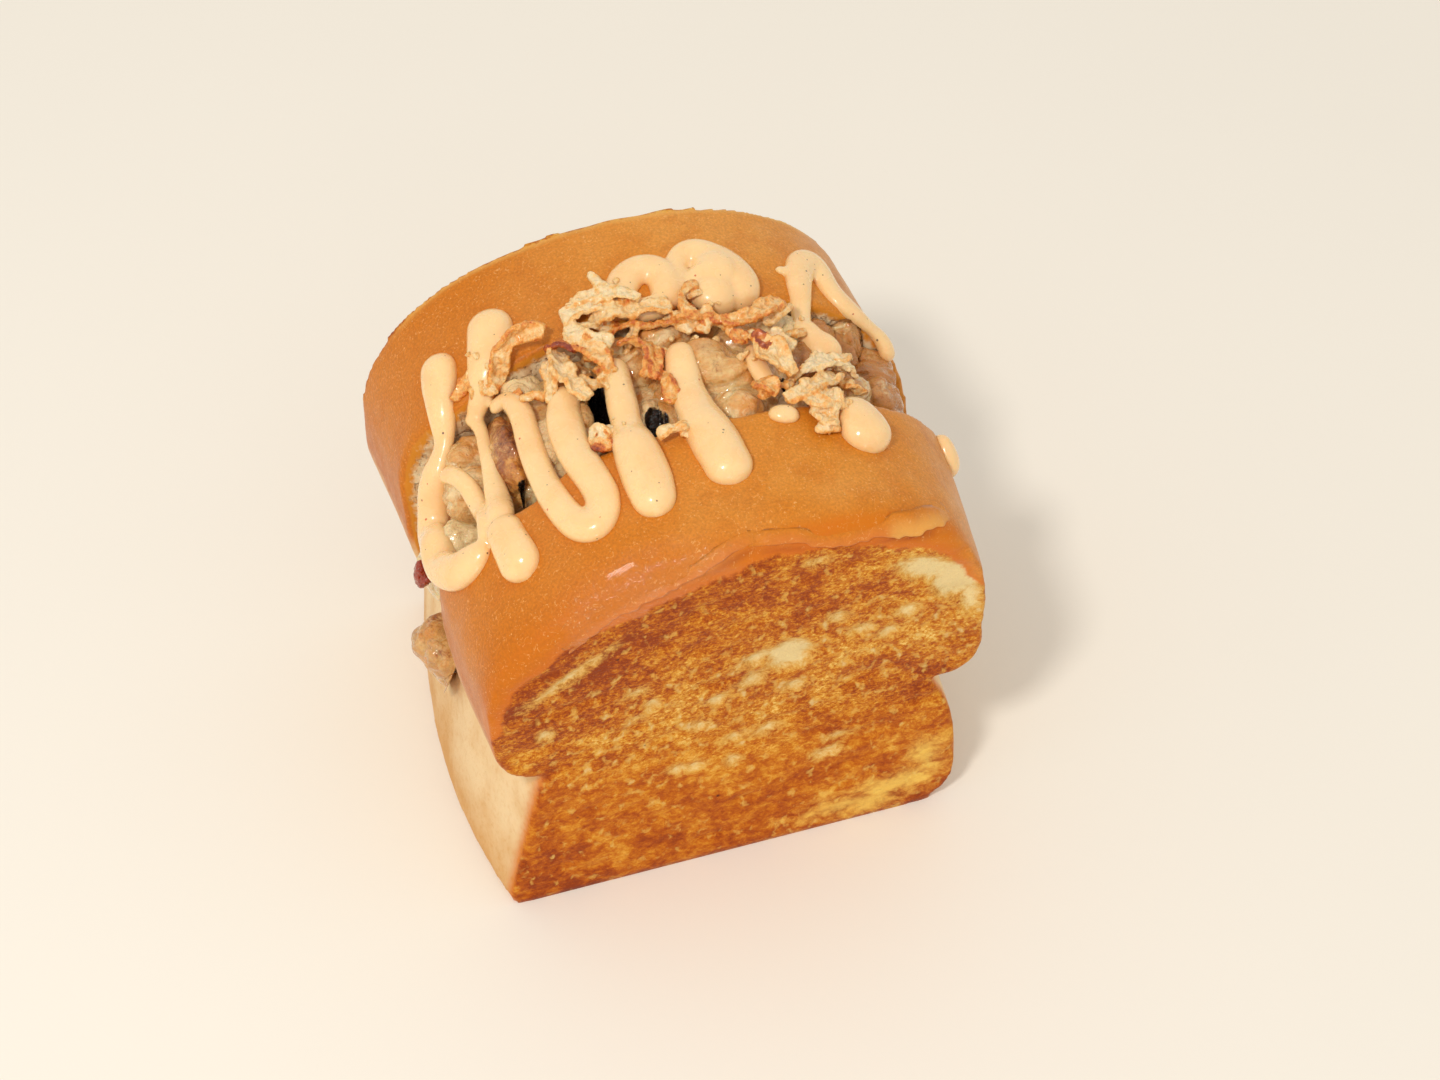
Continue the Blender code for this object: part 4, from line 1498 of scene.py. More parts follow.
@dataclass
class Chicken:
    """The grilled chicken in the slit and the hollows between its pieces, painted dark as shade."""

    form: LoafForm
    heap: HeapForm
    chunks: tuple[Chunk, ...] = (
        Chunk(-47.9, 0.5, 0, 6.4, 6, 7.6, 10, 0.3, 0.5, 0, 31.5, 0, 0.34),
        Chunk(-46.4, -5.4, 0, 4.6, 4.6, 6.2, -20, 0.25, 0.6, 0, 25.4, 0, 0.3),
        Chunk(-51.2, 1.2, 0, 1.7, 2.4, 2.9, 10, 0, 0.1, -0.2, 55, 1),
        Chunk(-46.5, 5, 0, 4.2, 6, 6.5, 15, 0, 0.15, 0.6, 48),
        Chunk(-44.5, 3, 0, 4.2, 5, 6, -25, 0, 0.3, 0.3, 58),
        Chunk(-43.6, -1.8, -1.2, 5, 5.4, 5.5, 25, 0, 0.1, 0.55),
        Chunk(-38.4, 4.4, -0.6, 6.4, 5.6, 6, -10, 0, 0.35, 0.15),
        Chunk(-38.5, 12.4, -0.8, 5.6, 5.2, 5.5, -20, 0, 0.35, 0.1),
        Chunk(-31.4, 4.4, 0.3, 5.2, 10, 7.5, 6, 0.4, 0.5, -0.1),
        Chunk(-24.4, 0.6, -1.4, 4.6, 10.6, 6.5, -4, 0, 0, 0.5),
        Chunk(-18, 3.4, -0.9, 3.6, 6.4, 6, 10, 0.05, 0.35, 0.15),
        Chunk(-26, 15.8, -0.8, 4.6, 4, 4.6, 0, 0, 0, 0.6),
        Chunk(-16.5, 12.4, -0.2, 5.6, 6.2, 6, 20, 0.1, 0.4, 0.1),
        Chunk(-8.5, 15.8, 0.6, 5.4, 4.4, 5.4, -15, 0, 0.4, 0.2),
        Chunk(1.5, 15.6, 0.6, 5.8, 4.4, 5.4, 12, 0.05, 0.5, 0.1),
        Chunk(22, 15.8, 0.2, 5.2, 4.2, 5.2, 20, 0.05, 0.3, 0.4),
        Chunk(31, 15.4, -0.4, 4.8, 4, 5.4, -10, 0, 0.6, 0.1),
        Chunk(-9.6, 5.4, -2.2, 3.8, 6.4, 5.4, -8, 0, 0.3, 0.2),
        Chunk(-4.6, 12, -0.2, 6.4, 5.4, 6, 10, 0.05, 0.45, 0.1),
        Chunk(-6.4, -0.6, -1.6, 3.7, 5.6, 6, -6, 0, 0.05, 0.45),
        Chunk(-1.2, 4, -2, 4, 5, 5.4, 30, 0.1, 0.5, 0),
        Chunk(7, 6.8, 2.4, 10, 9.4, 9, 15, 0.22, 0.3, 0.1),
        Chunk(10.2, -4.4, -1, 5.6, 5, 5.5, 40, 0, 0.35, 0.15),
        Chunk(16, 12.4, -0.6, 6, 5.5, 6, -40, 0.1, 0.35, 0.2),
        Chunk(18, 2.6, -1, 5.6, 6.4, 6, 30, 0.05, 0.4, 0.15),
        Chunk(25.4, 6.8, -0.8, 4.6, 4.6, 4.8, -25, 0.2, 0.8, 0.05),
        Chunk(24.2, 14.4, -0.9, 5, 4.6, 5, 15, 0, 0.2, 0.5),
        Chunk(32.4, 1.8, -1, 6.2, 6, 6, 30, 0.05, 0.4, 0.15),
        Chunk(35.5, 13.6, -1.6, 4.8, 5.2, 5.6, 15, 0.1, 0.7, 0),
        Chunk(43.4, 14.8, 4.2, 4.6, 5.4, 8, 10, 0.12, 0.7, -0.05),
        Chunk(38.4, 17.4, 3, 4.4, 4.2, 6.5, -25, 0.1, 0.65, 0),
        Chunk(40.6, 9, 0.6, 5.8, 4, 5, -12, 0.18, 0.85, -0.1),
        Chunk(39.4, 1.6, 0.4, 6.6, 4.8, 5.4, 14, 0.05, 0.75, 0),
        Chunk(45.6, 6, 0, 4.2, 6, 6.5, 15, 0.12, 0.7, 0, 57),
        Chunk(44.6, 4.5, 0, 4.2, 5, 6.5, -15, 0.05, 0.6, 0.1, 46),
        Chunk(42.4, 3.5, 0, 3.6, 3.6, 6, 25, 0.1, 0.4, 0.2, 35),
    )
    hollows: tuple[Hollow, ...] = (
        Hollow(-13.9, 3.8, 1.7, 5.6),
        Hollow(-4.9, -3.2, 2.1, 2.4),
        Hollow(-15.8, -8.2, 1.9, 1.6),
        Hollow(-31.4, -6, 3, 1.9),
        Hollow(21.4, -0.6, 1.5, 1.2),
    )
    hollow_depth: float = 15.0
    hollow_fade: float = 1.6
    hollow_wall: Pair = (1.06, 0.94)
    hollow_rim: Pair = (1.25, 1.1)
    wall_gap: float = 0.4
    open_z: float = 84.0
    core_gap: float = 0.45
    core_inset: float = 2.2
    subdivisions: int = 5
    boxiness: float = 2.6
    cuts: int = 7
    cut_depth: Pair = (0.78, 1.0)
    sharpness: float = 10.0
    core_rings: int = 150
    core_rows: int = 22
    core_rise: float = 1.5
    side_spread: float = 1.5
    shadow_x: Pair = (46.0, 41.0)

    def radius(self, unit: Array, number: int) -> Array:
        """How far a torn chunk reaches in each direction, for a chunk of half size 1.

        Args:
            unit: Directions, each 1 long.
            number: Picks the chunk's cuts.

        Returns:
            One reach for each direction.
        """
        random = np.random.default_rng(number)
        cuts = unit_rows(random.normal(size=(self.cuts, 3)))
        depth = random.uniform(*self.cut_depth, self.cuts)
        box = np.sum(np.abs(unit) ** self.boxiness, axis=1) ** (-1.0 / self.boxiness)
        reaches = np.concatenate([depth / np.maximum(unit @ cuts.T, 0.05), box[:, None]], axis=1)
        return np.sum(reaches**-self.sharpness, axis=1) ** (-1.0 / self.sharpness)

    def shape(self, chunk: Chunk, number: int) -> Body:
        """One torn, grilled chunk.

        Args:
            chunk: Its place, size and finish.
            number: Its number, which picks its cuts and lumps.

        Returns:
            The chunk's body.
        """
        body = ball(self.subdivisions)
        unit = body.points
        radius = self.radius(unit, number)
        seeded = unit * radius[:, None] + np.array((number * 5.3, number * 2.7, 0.0))
        fibre = 1.0 - 2.0 * np.abs(soft_noise(seeded, (1.1, 0.24, 0.24), 53))
        crease = np.exp(-((soft_noise(seeded, (0.95, 0.5, 0.5), 55) / 0.14) ** 2))
        lumps = 0.13 * soft_noise(seeded, 0.8, 51) + 0.07 * soft_noise(seeded, 0.36, 52)
        lumps += 0.04 * fibre + 0.025 * soft_noise(seeded, 0.15, 54) - 0.1 * crease
        points = unit * (radius * (1.0 + lumps))[:, None] * (chunk.half_x, chunk.half_y, chunk.half_z)
        cosine, sine = math.cos(math.radians(chunk.turn)), math.sin(math.radians(chunk.turn))
        points = points @ np.array(((cosine, sine, 0), (-sine, cosine, 0), (0, 0, 1)))
        level = float(self.heap.height(chunk.x)) + self.heap.sauce_rise
        middle = chunk.low if chunk.low is not None else level + chunk.top - points[:, 2].max()
        points, painted_shade = self.sunk(points + np.array((chunk.x, chunk.y, middle)))
        body.points = self.hold_in(points)
        body.values = {
            "char": chunk.char * (0.35 + 0.65 * ease(unit[:, 2], -0.3, 0.8)),
            "sear": chunk.sear + 1.2 * lumps,
            "film": chunk.film - 1.5 * lumps,
            "pepper": np.full(len(points), chunk.pepper),
            "deep": painted_shade * (chunk.low is None) + chunk.murk,
        }
        return body

    def sunk(self, points: Array) -> tuple[Array, Array]:
        """The points lowered where a hollow is, and how much painted shade each of them gets, from 0 to 1.

        Args:
            points: The places.

        Returns:
            The new places, and each one's painted shade.
        """
        away = np.min([hollow.away(points) for hollow in self.hollows], axis=0)
        below = self.heap.height(points[:, 0]) + self.heap.sauce_rise - points[:, 2]
        fading = ease(below, self.hollow_depth * self.hollow_fade, 2.0)
        lower = ease(away, *self.hollow_wall) * self.hollow_depth * fading
        painted_shade = ease(away, *self.hollow_rim)
        # painted shade: near black in the hollows, up to half as dark deep in the slit away from its ends
        dark = np.maximum(painted_shade, 0.5 * ease(below, 8.0, 14.0) * ease(np.abs(points[:, 0]), *self.shadow_x))
        return points - np.array((0.0, 0.0, 1.0)) * lower[:, None], dark

    def hold_in(self, points: Array) -> Array:
        """Keeps points off the bread: between the slit's walls, under its opening or beside it.

        Args:
            points: The places.

        Returns:
            The new places.
        """
        x, y, z = points.T
        levels = np.linspace(0.0, self.form.slit_top, 60)
        side = [self.form.side_half(self.form.left, self.form.slit_y, level) for level in levels]
        beside = self.side_spread * np.maximum(np.abs(x) - np.interp(z, levels, side) + 0.5, 0.0)
        deep = np.minimum(z, self.form.slit_top - 2.0)
        low = self.form.slit_wall(deep, Edge.FRONT) + self.wall_gap - beside
        high = self.form.slit_wall(deep, Edge.BACK) - self.wall_gap + beside
        return np.stack([x, np.where(z < self.open_z, np.clip(y, low, high), y), z], 1)

    def core(self) -> Body:
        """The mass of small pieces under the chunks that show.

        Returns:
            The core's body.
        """
        rings = []
        for share in np.linspace(-1.0, 1.0, self.core_rings):
            side = self.form.side(share)
            top = float(self.heap.height(share * self.form.reach(side, side.cap, self.form.slit_y)))
            heights = np.linspace(self.form.slit_root + 2.5, top, 12)
            front = [(float(self.form.slit_wall(z, Edge.FRONT)) + self.core_gap, z) for z in heights]
            back = [(float(self.form.slit_wall(z, Edge.BACK)) - self.core_gap, z) for z in heights[::-1]]
            crown = []
            for row in np.linspace(-1.0, 1.0, self.core_rows)[1:-1]:
                over = self.core_rise * (1.0 - row**4)
                crown.append((between(front[-1][0], back[0][0], 0.5 + 0.5 * row), top + over))
            ring = []
            for y, z in front + crown + back:
                out = self.form.side_half(side, self.form.slit_y, z) - self.core_inset
                ring.append((share * out, y, z))
            rings.append(np.array(ring))
        body = taken(loft("core", rings))
        points = body.points
        lumps = 1.3 * soft_noise(points, 4.2, 56) + 0.7 * soft_noise(points, 1.8, 57)
        points[:, 2] += lumps * ease(self.heap.height(points[:, 0]) - points[:, 2], 3.0, 0.5)
        body.points, dark = self.sunk(points)
        film = 0.15 + 0.2 * soft_noise(body.points, 5.0, 58)
        plain = np.zeros(len(points))
        body.values = {
            "char": plain + 0.1,
            "sear": plain + 0.4,
            "film": film,
            "pepper": plain,
            # painted shade from the hollows and from the slit's depth
            "deep": dark,
        }
        return body

    def build(self) -> Piece:
        """The finished chicken, as one piece.

        Returns:
            The piece.
        """
        chunks = [self.shape(chunk, number) for number, chunk in enumerate(self.chunks)]
        mesh = gathered("grilled_chicken", [*chunks, self.core()])
        mesh.shade_smooth()
        mesh.materials.append(ChickenFinish().material())
        return new_piece("grilled_chicken", mesh)


# ---- what everything lies on


class Ground:
    """The bread and the chicken seen from above, for what is laid over them."""

    def __init__(self, pieces: Sequence[Piece]) -> None:
        """Gathers the pieces that carry the toppings."""
        points: list[Any] = []
        faces: list[tuple[int, ...]] = []
        for piece in pieces:
            start = len(points)
            points += [vert.co / MM for vert in piece.data.vertices]
            faces += [tuple(index + start for index in face.vertices) for face in piece.data.polygons]
        self.tree = BVHTree.FromPolygons(points, faces)
        self.sky = 130.0

    def under(self, x: float, y: float) -> tuple[Vector | None, Vector | None]:
        """The top surface's place and outward direction at a point of the plan."""
        place, normal, _, _ = self.tree.ray_cast(Vector((x, y, self.sky)), Vector((0.0, 0.0, -1.0)))
        return place, normal

    def nearest(self, point: Vector) -> tuple[Vector, Vector]:
        """The nearest place on the surface, and its outward direction."""
        place, normal, _, _ = self.tree.find_nearest(point)
        return place, normal


@dataclass
class CrustFold:
    """The crust's skin where it folded over above the toasted face; its right end is torn."""

    loaf: Loaf
    ground: Ground
    step: float = 0.4
    profile: tuple[Pair, ...] = (
        (-2.4, -0.7), (-1.9, -0.2), (-1.4, 0.1), (-0.9, 0.32), (-0.4, 0.54), (0.0, 0.68), (0.3, 0.62),
        (0.5, 0.4), (0.55, 0.12), (0.45, -0.2), (0.1, -0.5), (-1.2, -0.9),
    )
    torn_x: Pair = (27.0, 30.0)
    torn_wide: float = 1.5
    ragged: float = 1.1
    fade: float = 6.0
    rise: float = 1.0
    place_rounds: int = 4
    turn_rounds: int = 14

    def band(self, line: Sequence[Sequence[float]], seed: int) -> Body:
        """One fold's body, with its crest, the painted shade on its underside and its torn end marked.

        Args:
            line: The fold's crest, as points on the crust.
            seed: Picks its wrinkles.

        Returns:
            The fold's body.
        """
        way, along = smooth_way(line, self.step)
        spots = [self.ground.nearest(Vector(point)) for point in way]
        laid, outward = (np.array([spot[part] for spot in spots]) for part in (0, 1))
        laid = np.stack([eased(laid[:, k], self.place_rounds) for k in range(3)], 1)
        outward = unit_rows(np.stack([eased(outward[:, k], self.turn_rounds) for k in range(3)], 1))
        down = unit_rows(np.cross(np.gradient(laid, axis=0), outward))
        down *= np.sign(-down[:, 1:].sum(axis=1))[:, None]
        ends = ease(along, 0.0, self.fade) * ease(along, along[-1], along[-1] - self.fade)
        spot = np.stack([along, along * 0.0, along * 0.0], 1)
        height = self.rise * ends * (0.8 + 0.45 * soft_noise(spot, 3.4, seed))
        ragged = 0.55 * soft_noise(spot, 4.0, seed + 1) + 0.35 * soft_noise(spot, 1.3, seed + 2)
        across, lift = np.array(self.profile).T
        torn = ease(laid[:, 0], *self.torn_x)[:, None]
        out = across + (self.ragged * ragged * ends)[:, None] * ease(across, -1.2, 0.6)
        out = out * between(1.0, self.torn_wide, torn)
        up = np.where(lift > 0, lift * height[:, None], lift)
        points = laid[:, None] + down[:, None] * out[:, :, None] + outward[:, None] * up[:, :, None]
        wrinkle = 0.16 * soft_noise(points.reshape(-1, 3), (1.4, 0.8, 0.8), seed + 3)
        points = points + outward[:, None] * wrinkle.reshape(out.shape)[:, :, None]
        body = taken(loft("fold", list(points)))
        crest = (ease(across, -2.2, 0.0) * ends[:, None]).ravel()
        marks = self.loaf.marks(np.repeat(laid, len(across), axis=0))
        # painted shade on the fold's underside
        under = np.tile((lift < 0) & (across > 0), len(way))
        own = {"ridge": 0.7 * crest, "groove": under * 1.0, "caramel": 0.3 * marks["caramel"]}
        body.values = {**marks, **own, "hem": 0.6 * np.repeat(torn, len(across)) * crest}
        return body

    def build(self) -> Piece:
        """The finished fold, as one piece.

        Returns:
            The piece.
        """
        folds = [self.band(self.loaf.crease_right, 81), self.band(self.loaf.crease_left, 91)]
        mesh = gathered("crust_fold", folds)
        mesh.shade_smooth()
        mesh.materials.append(bpy.data.materials[BreadFinish.name])
        return new_piece("crust_fold", mesh)


# ---- the sauce


@dataclass(frozen=True)
class Strand:
    """One run of piped sauce, as (x, y, half width) along its way in plan."""

    name: str
    way: tuple[Triple, ...]


def smooth_way(points: Sequence[Sequence[float]], step: float) -> tuple[Array, Array]:
    """Evenly spaced points on a smooth curve through the given ones (Catmull-Rom).

    Args:
        points: The curve's own points; the first two numbers of each are its place in plan.
        step: The spacing in millimetres.

    Returns:
        The points, and how far along the curve each one is.
    """
    given = [np.array(point, float) for point in points]
    given = [2 * given[0] - given[1], *given, 2 * given[-1] - given[-2]]
    fine = []
    for p0, p1, p2, p3 in zip(given, given[1:], given[2:], given[3:]):
        for t in np.linspace(0.0, 1.0, 16, endpoint=False):
            bend = (2 * p0 - 5 * p1 + 4 * p2 - p3) * t + (3 * (p1 - p2) + p3 - p0) * t * t
            fine.append(p1 + 0.5 * t * (p2 - p0 + bend))
    fine.append(given[-2])
    line = np.array(fine)
    runs = np.linalg.norm(np.diff(line[:, :2], axis=0), axis=1)
    along = np.concatenate([[0.0], np.cumsum(runs)])
    wanted = np.linspace(0.0, along[-1], max(int(along[-1] / step), 3) + 1)
    return np.stack([np.interp(wanted, along, line[:, k]) for k in range(line.shape[1])], 1), wanted


def eased(values: Array, rounds: int) -> Array:
    """Values along a line, each drawn towards its neighbours several times.

    Args:
        values: The values, in order.
        rounds: How many times; the two ends stay.

    Returns:
        The new values.
    """
    for _ in range(rounds):
        padded = np.concatenate([2 * values[:1] - values[1:2], values, 2 * values[-1:] - values[-2:-1]])
        values = (padded[:-2] + 2 * padded[1:-1] + padded[2:]) / 4
    return values


@dataclass
class Drizzle:
    """The zigzag of sauce over the crust and the heap."""

    form: LoafForm
    heap: HeapForm
    ground: Ground
    strands: tuple[Strand, ...] = (
        Strand("left_tongue", ((-38.9, 29.3, 3.9), (-39.7, 25.4, 3.8), (-40.8, 21.5, 3.2),
            (-41.5, 17.3, 2.4), (-42.2, 14.5, 2.2), (-44.2, 12.4, 2.8))),
        Strand("left_hook", ((-43.6, 13, 2.6), (-45.5, 10.7, 3), (-46.9, 6.9, 3.1), (-48, 1.4, 3.3),
            (-48.4, -7, 3.4), (-46.9, -12.8, 3.5), (-44.1, -14.6, 3.3), (-42, -14, 2.4))),
        Strand("left_branch", ((-43.4, 8, 1.9), (-41, 2.6, 1.8), (-39.5, -3.4, 2), (-39.5, -9.5, 2.2),
            (-40.6, -13, 2))),
        Strand("curl_tongue", ((-27.9, 31, 4.3), (-28.6, 28.5, 4.5), (-29.7, 25.4, 4.3),
            (-31.3, 22.2, 3.7), (-32.7, 19.2, 2.9), (-34, 17.2, 2.1), (-35.6, 16, 1.9))),
        Strand("thin_thread", ((-36, 16, 2), (-35.4, 12.5, 1.3), (-35.7, 8.5, 1.2), (-36, 3.6, 1.5),
            (-36.4, -1.3, 2), (-36.7, -6.1, 2.4), (-37.6, -12, 2.4))),
        Strand("short_tongue", ((-37.7, -13, 3.2), (-37.4, -16.9, 3.7), (-36.9, -21.5, 4),
            (-36.7, -24.4, 3.9))),
        Strand("u_turn", ((-32.2, 14, 1.3), (-30.3, 14, 1.7), (-28.8, 11.6, 2.1), (-28.3, 7.5, 2.3),
            (-28.6, 2.8, 2.4), (-28.8, -2.4, 2.5), (-28.7, -7.8, 2.6), (-28.2, -13.4, 2.8),
            (-27.2, -18.4, 2.9), (-25.8, -22.4, 3.1), (-23.4, -24.6, 3.2), (-21.2, -23.2, 3.1),
            (-20.1, -19.5, 3.1), (-20.5, -15.1, 3.2), (-21.4, -9.8, 3.3), (-21.9, -4.2, 3.4),
            (-21.7, 1, 3.3), (-20.8, 5.2, 3), (-19.2, 7.9, 2.6))),
        Strand("centre_tongue", ((-9.4, 11, 2.2), (-10, 5.6, 2.8), (-10.7, 0.5, 2.8), (-11.3, -4.5, 3),
            (-11.6, -10, 3.9), (-11.6, -15, 4.3), (-11.6, -20, 4.3), (-11.8, -25.6, 4.1))),
        Strand("right_tongue", ((2.8, 8.8, 2.4), (2.2, 4.2, 3.1), (1.7, -0.2, 3.2), (1.7, -4.7, 3.6),
            (1.9, -9.8, 4.1), (2.5, -14.6, 4.4), (3.1, -20, 4.5), (3.3, -23, 4.4))),
        Strand("left_arch", ((-4.6, 22.5, 2.8), (-3.7, 25.8, 3.1), (-1.4, 29.2, 3.2), (2, 30.6, 3.2),
            (5, 29, 3.3), (5.3, 25, 3.2), (4.6, 21.6, 3.2))),
        Strand("right_arch", ((6.9, 22.8, 2.5), (7.6, 26.8, 2.3), (9.1, 31, 2.3), (12.3, 33.2, 2.8),
            (15.3, 30.8, 3.6), (17.8, 27.1, 4.1), (19, 22.6, 4.2), (17.6, 19.6, 3.7))),
        Strand("arch_pool", ((10.4, 22.6, 3.4), (13.3, 21.4, 4.4), (15.8, 20.2, 4.4))),
        Strand("arch_inner", ((10.4, 23.4, 2.8), (13, 25, 4), (15.8, 24.6, 4.6))),
        Strand("left_arch_foot", ((-4.8, 22.6, 2.4), (-0.6, 20.6, 2.3), (4.2, 21.2, 2.6))),
        Strand("arch_fill", ((14, 29.8, 3.4), (15.2, 27.8, 4.8), (15.2, 25.4, 5.2), (13.6, 22.8, 4.4))),
        Strand("far_arch", ((28.6, 12, 2.1), (29.6, 16, 1.9), (30.6, 20.2, 2.2), (31.8, 25, 2.8),
            (33.8, 29.6, 3.1), (36.2, 31, 3), (37.4, 28.4, 2.7), (38, 24.2, 2.5), (39.4, 20.8, 2.4),
            (41.8, 18.9, 2), (44.6, 17.9, 1.5), (47, 16.6, 1.9), (47, 14.2, 1.9))),
        Strand("far_drip", ((29.2, 13.8, 2.1), (30, 10.6, 2.5), (31.2, 8.3, 3.2), (32.2, 5.7, 3))),
        Strand("oval_drop", ((30.4, -10.6, 3.2), (30.6, -13.6, 4.3), (30.9, -17, 4.8),
            (31.1, -19.8, 4.5))),
        Strand("edge_drop", ((14.8, -10.7, 1.3), (17, -11.6, 2), (19.2, -11.9, 1.5))),
        Strand("shoulder_drop", ((50, -8.4, 2.4), (50.8, -12.2, 3))),
        Strand("short_thread", ((16.5, 6.8, 1.4), (16.2, 1.7, 1.9), (16.8, -2.7, 1.6))),
        Strand("smear", ((28.2, 27.6, 0.7), (30, 27, 1.3))),
    )
    step: float = 0.6
    sides: int = 18
    flatness: float = 0.74
    end_reach: float = 0.55
    place_rounds: tuple[int, int, int] = (9, 9, 16)
    turn_rounds: int = 27
    skin_loss: float = 0.15
    steepest: float = 0.35
    steep_x: float = 48.6
    sag: float = 0.6
    bridge_slope: float = 1.2
    voxel: float = 0.42
    smoothing: int = 3

    def lie(self, way: Array, along: Array) -> tuple[Array, Array]:
        """Lays a strand on what is under it.

        Args:
            way: Its (x, y, half width) points.
            along: How far along it each point is.

        Returns:
            The places it touches, and the outward direction there.
        """
        places, normals = [], []
        for x, y, _ in way:
            level = self.heap.level(self.form, x, y)
            place, normal = self.ground.under(x, y)
            if place is None or abs(x) > self.steep_x and normal.z < self.steepest:
                place, normal = self.ground.nearest(Vector((x, y, level)))
            elif place.z < level - self.sag:
                place, normal = Vector((x, y, level - self.sag)), Vector((0.0, 0.0, 1.0))
            places.append(place)
            normals.append(normal)
        laid, outward = np.array(places), np.array(normals)
        gaps = np.abs(along[:, None] - along[None, :]) * self.bridge_slope
        laid[:, 2] = np.max(laid[:, 2][None, :] - gaps, axis=1)
        laid = np.stack([eased(laid[:, k], rounds) for k, rounds in enumerate(self.place_rounds)], 1)
        outward = np.stack([eased(outward[:, k], self.turn_rounds) for k in range(3)], 1)
        return laid, unit_rows(outward)

    def with_ends(self, way: Sequence[Triple]) -> Array:
        """A strand's way drawn out at both ends, so that its round ends are whole.

        Args:
            way: Its (x, y, half width) points.

        Returns:
            The longer way.
        """
        points = np.array(way, float)
        for end, inner in ((0, 1), (-1, -2)):
            out = points[end, :2] - points[inner, :2]
            points[end, :2] += out / np.linalg.norm(out) * points[end, 2] * self.end_reach
        return points

    def bead(self, strand: Strand) -> Body:
        """One strand's rounded body.

        Args:
            strand: The strand.

        Returns:
            Its body.
        """
        way, along = smooth_way(self.with_ends(strand.way), self.step)
        laid, outward = self.lie(way, along)
        ahead = unit_rows(np.gradient(laid, axis=0))
        across = unit_rows(np.cross(ahead, outward))
        lift = np.cross(across, ahead)
        uneven = 1.0 + 0.06 * soft_noise(laid, 5.0, 61)
        width = way[:, 2] * uneven + self.skin_loss
        inside = np.minimum(along, along[-1] - along) / way[:, 2]
        close = np.sqrt(np.clip(1.0 - (1.0 - np.minimum(inside, 1.0)) ** 2, 0.02, 1.0))
        angles = np.linspace(0.0, 2.0 * math.pi, self.sides, endpoint=False)
        round_x = np.cos(angles)[None, :, None]
        round_z = np.sin(angles)[None, :, None]
        half = (width * close)[:, None, None]
        centre = laid + outward * (0.12 * width * close)[:, None]
        points = centre[:, None] + across[:, None] * round_x * half
        points = points + lift[:, None] * round_z * half * self.flatness
        return taken(loft(strand.name, list(points)))

    def build(self) -> Piece:
        """The finished sauce, as one piece.

        Returns:
            The piece.
        """
        beads = [self.bead(strand) for strand in self.strands]
        sauce = new_piece("sauce_drizzle", gathered("sauce_drizzle", beads))
        mesh = remeshed(sauce, self.voxel, self.smoothing)
        mesh.materials.clear()
        mesh.materials.append(SauceFinish().material())
        return sauce


# ---- the onions


@dataclass(frozen=True)
class Strip:
    """A fried onion strip: its way as (x, y, rise over the heap's level), its width, its roll in
    degrees and how fried it is, from 0 to 1."""

    way: tuple[Triple, ...]
    width: float
    roll: float
    fried: float


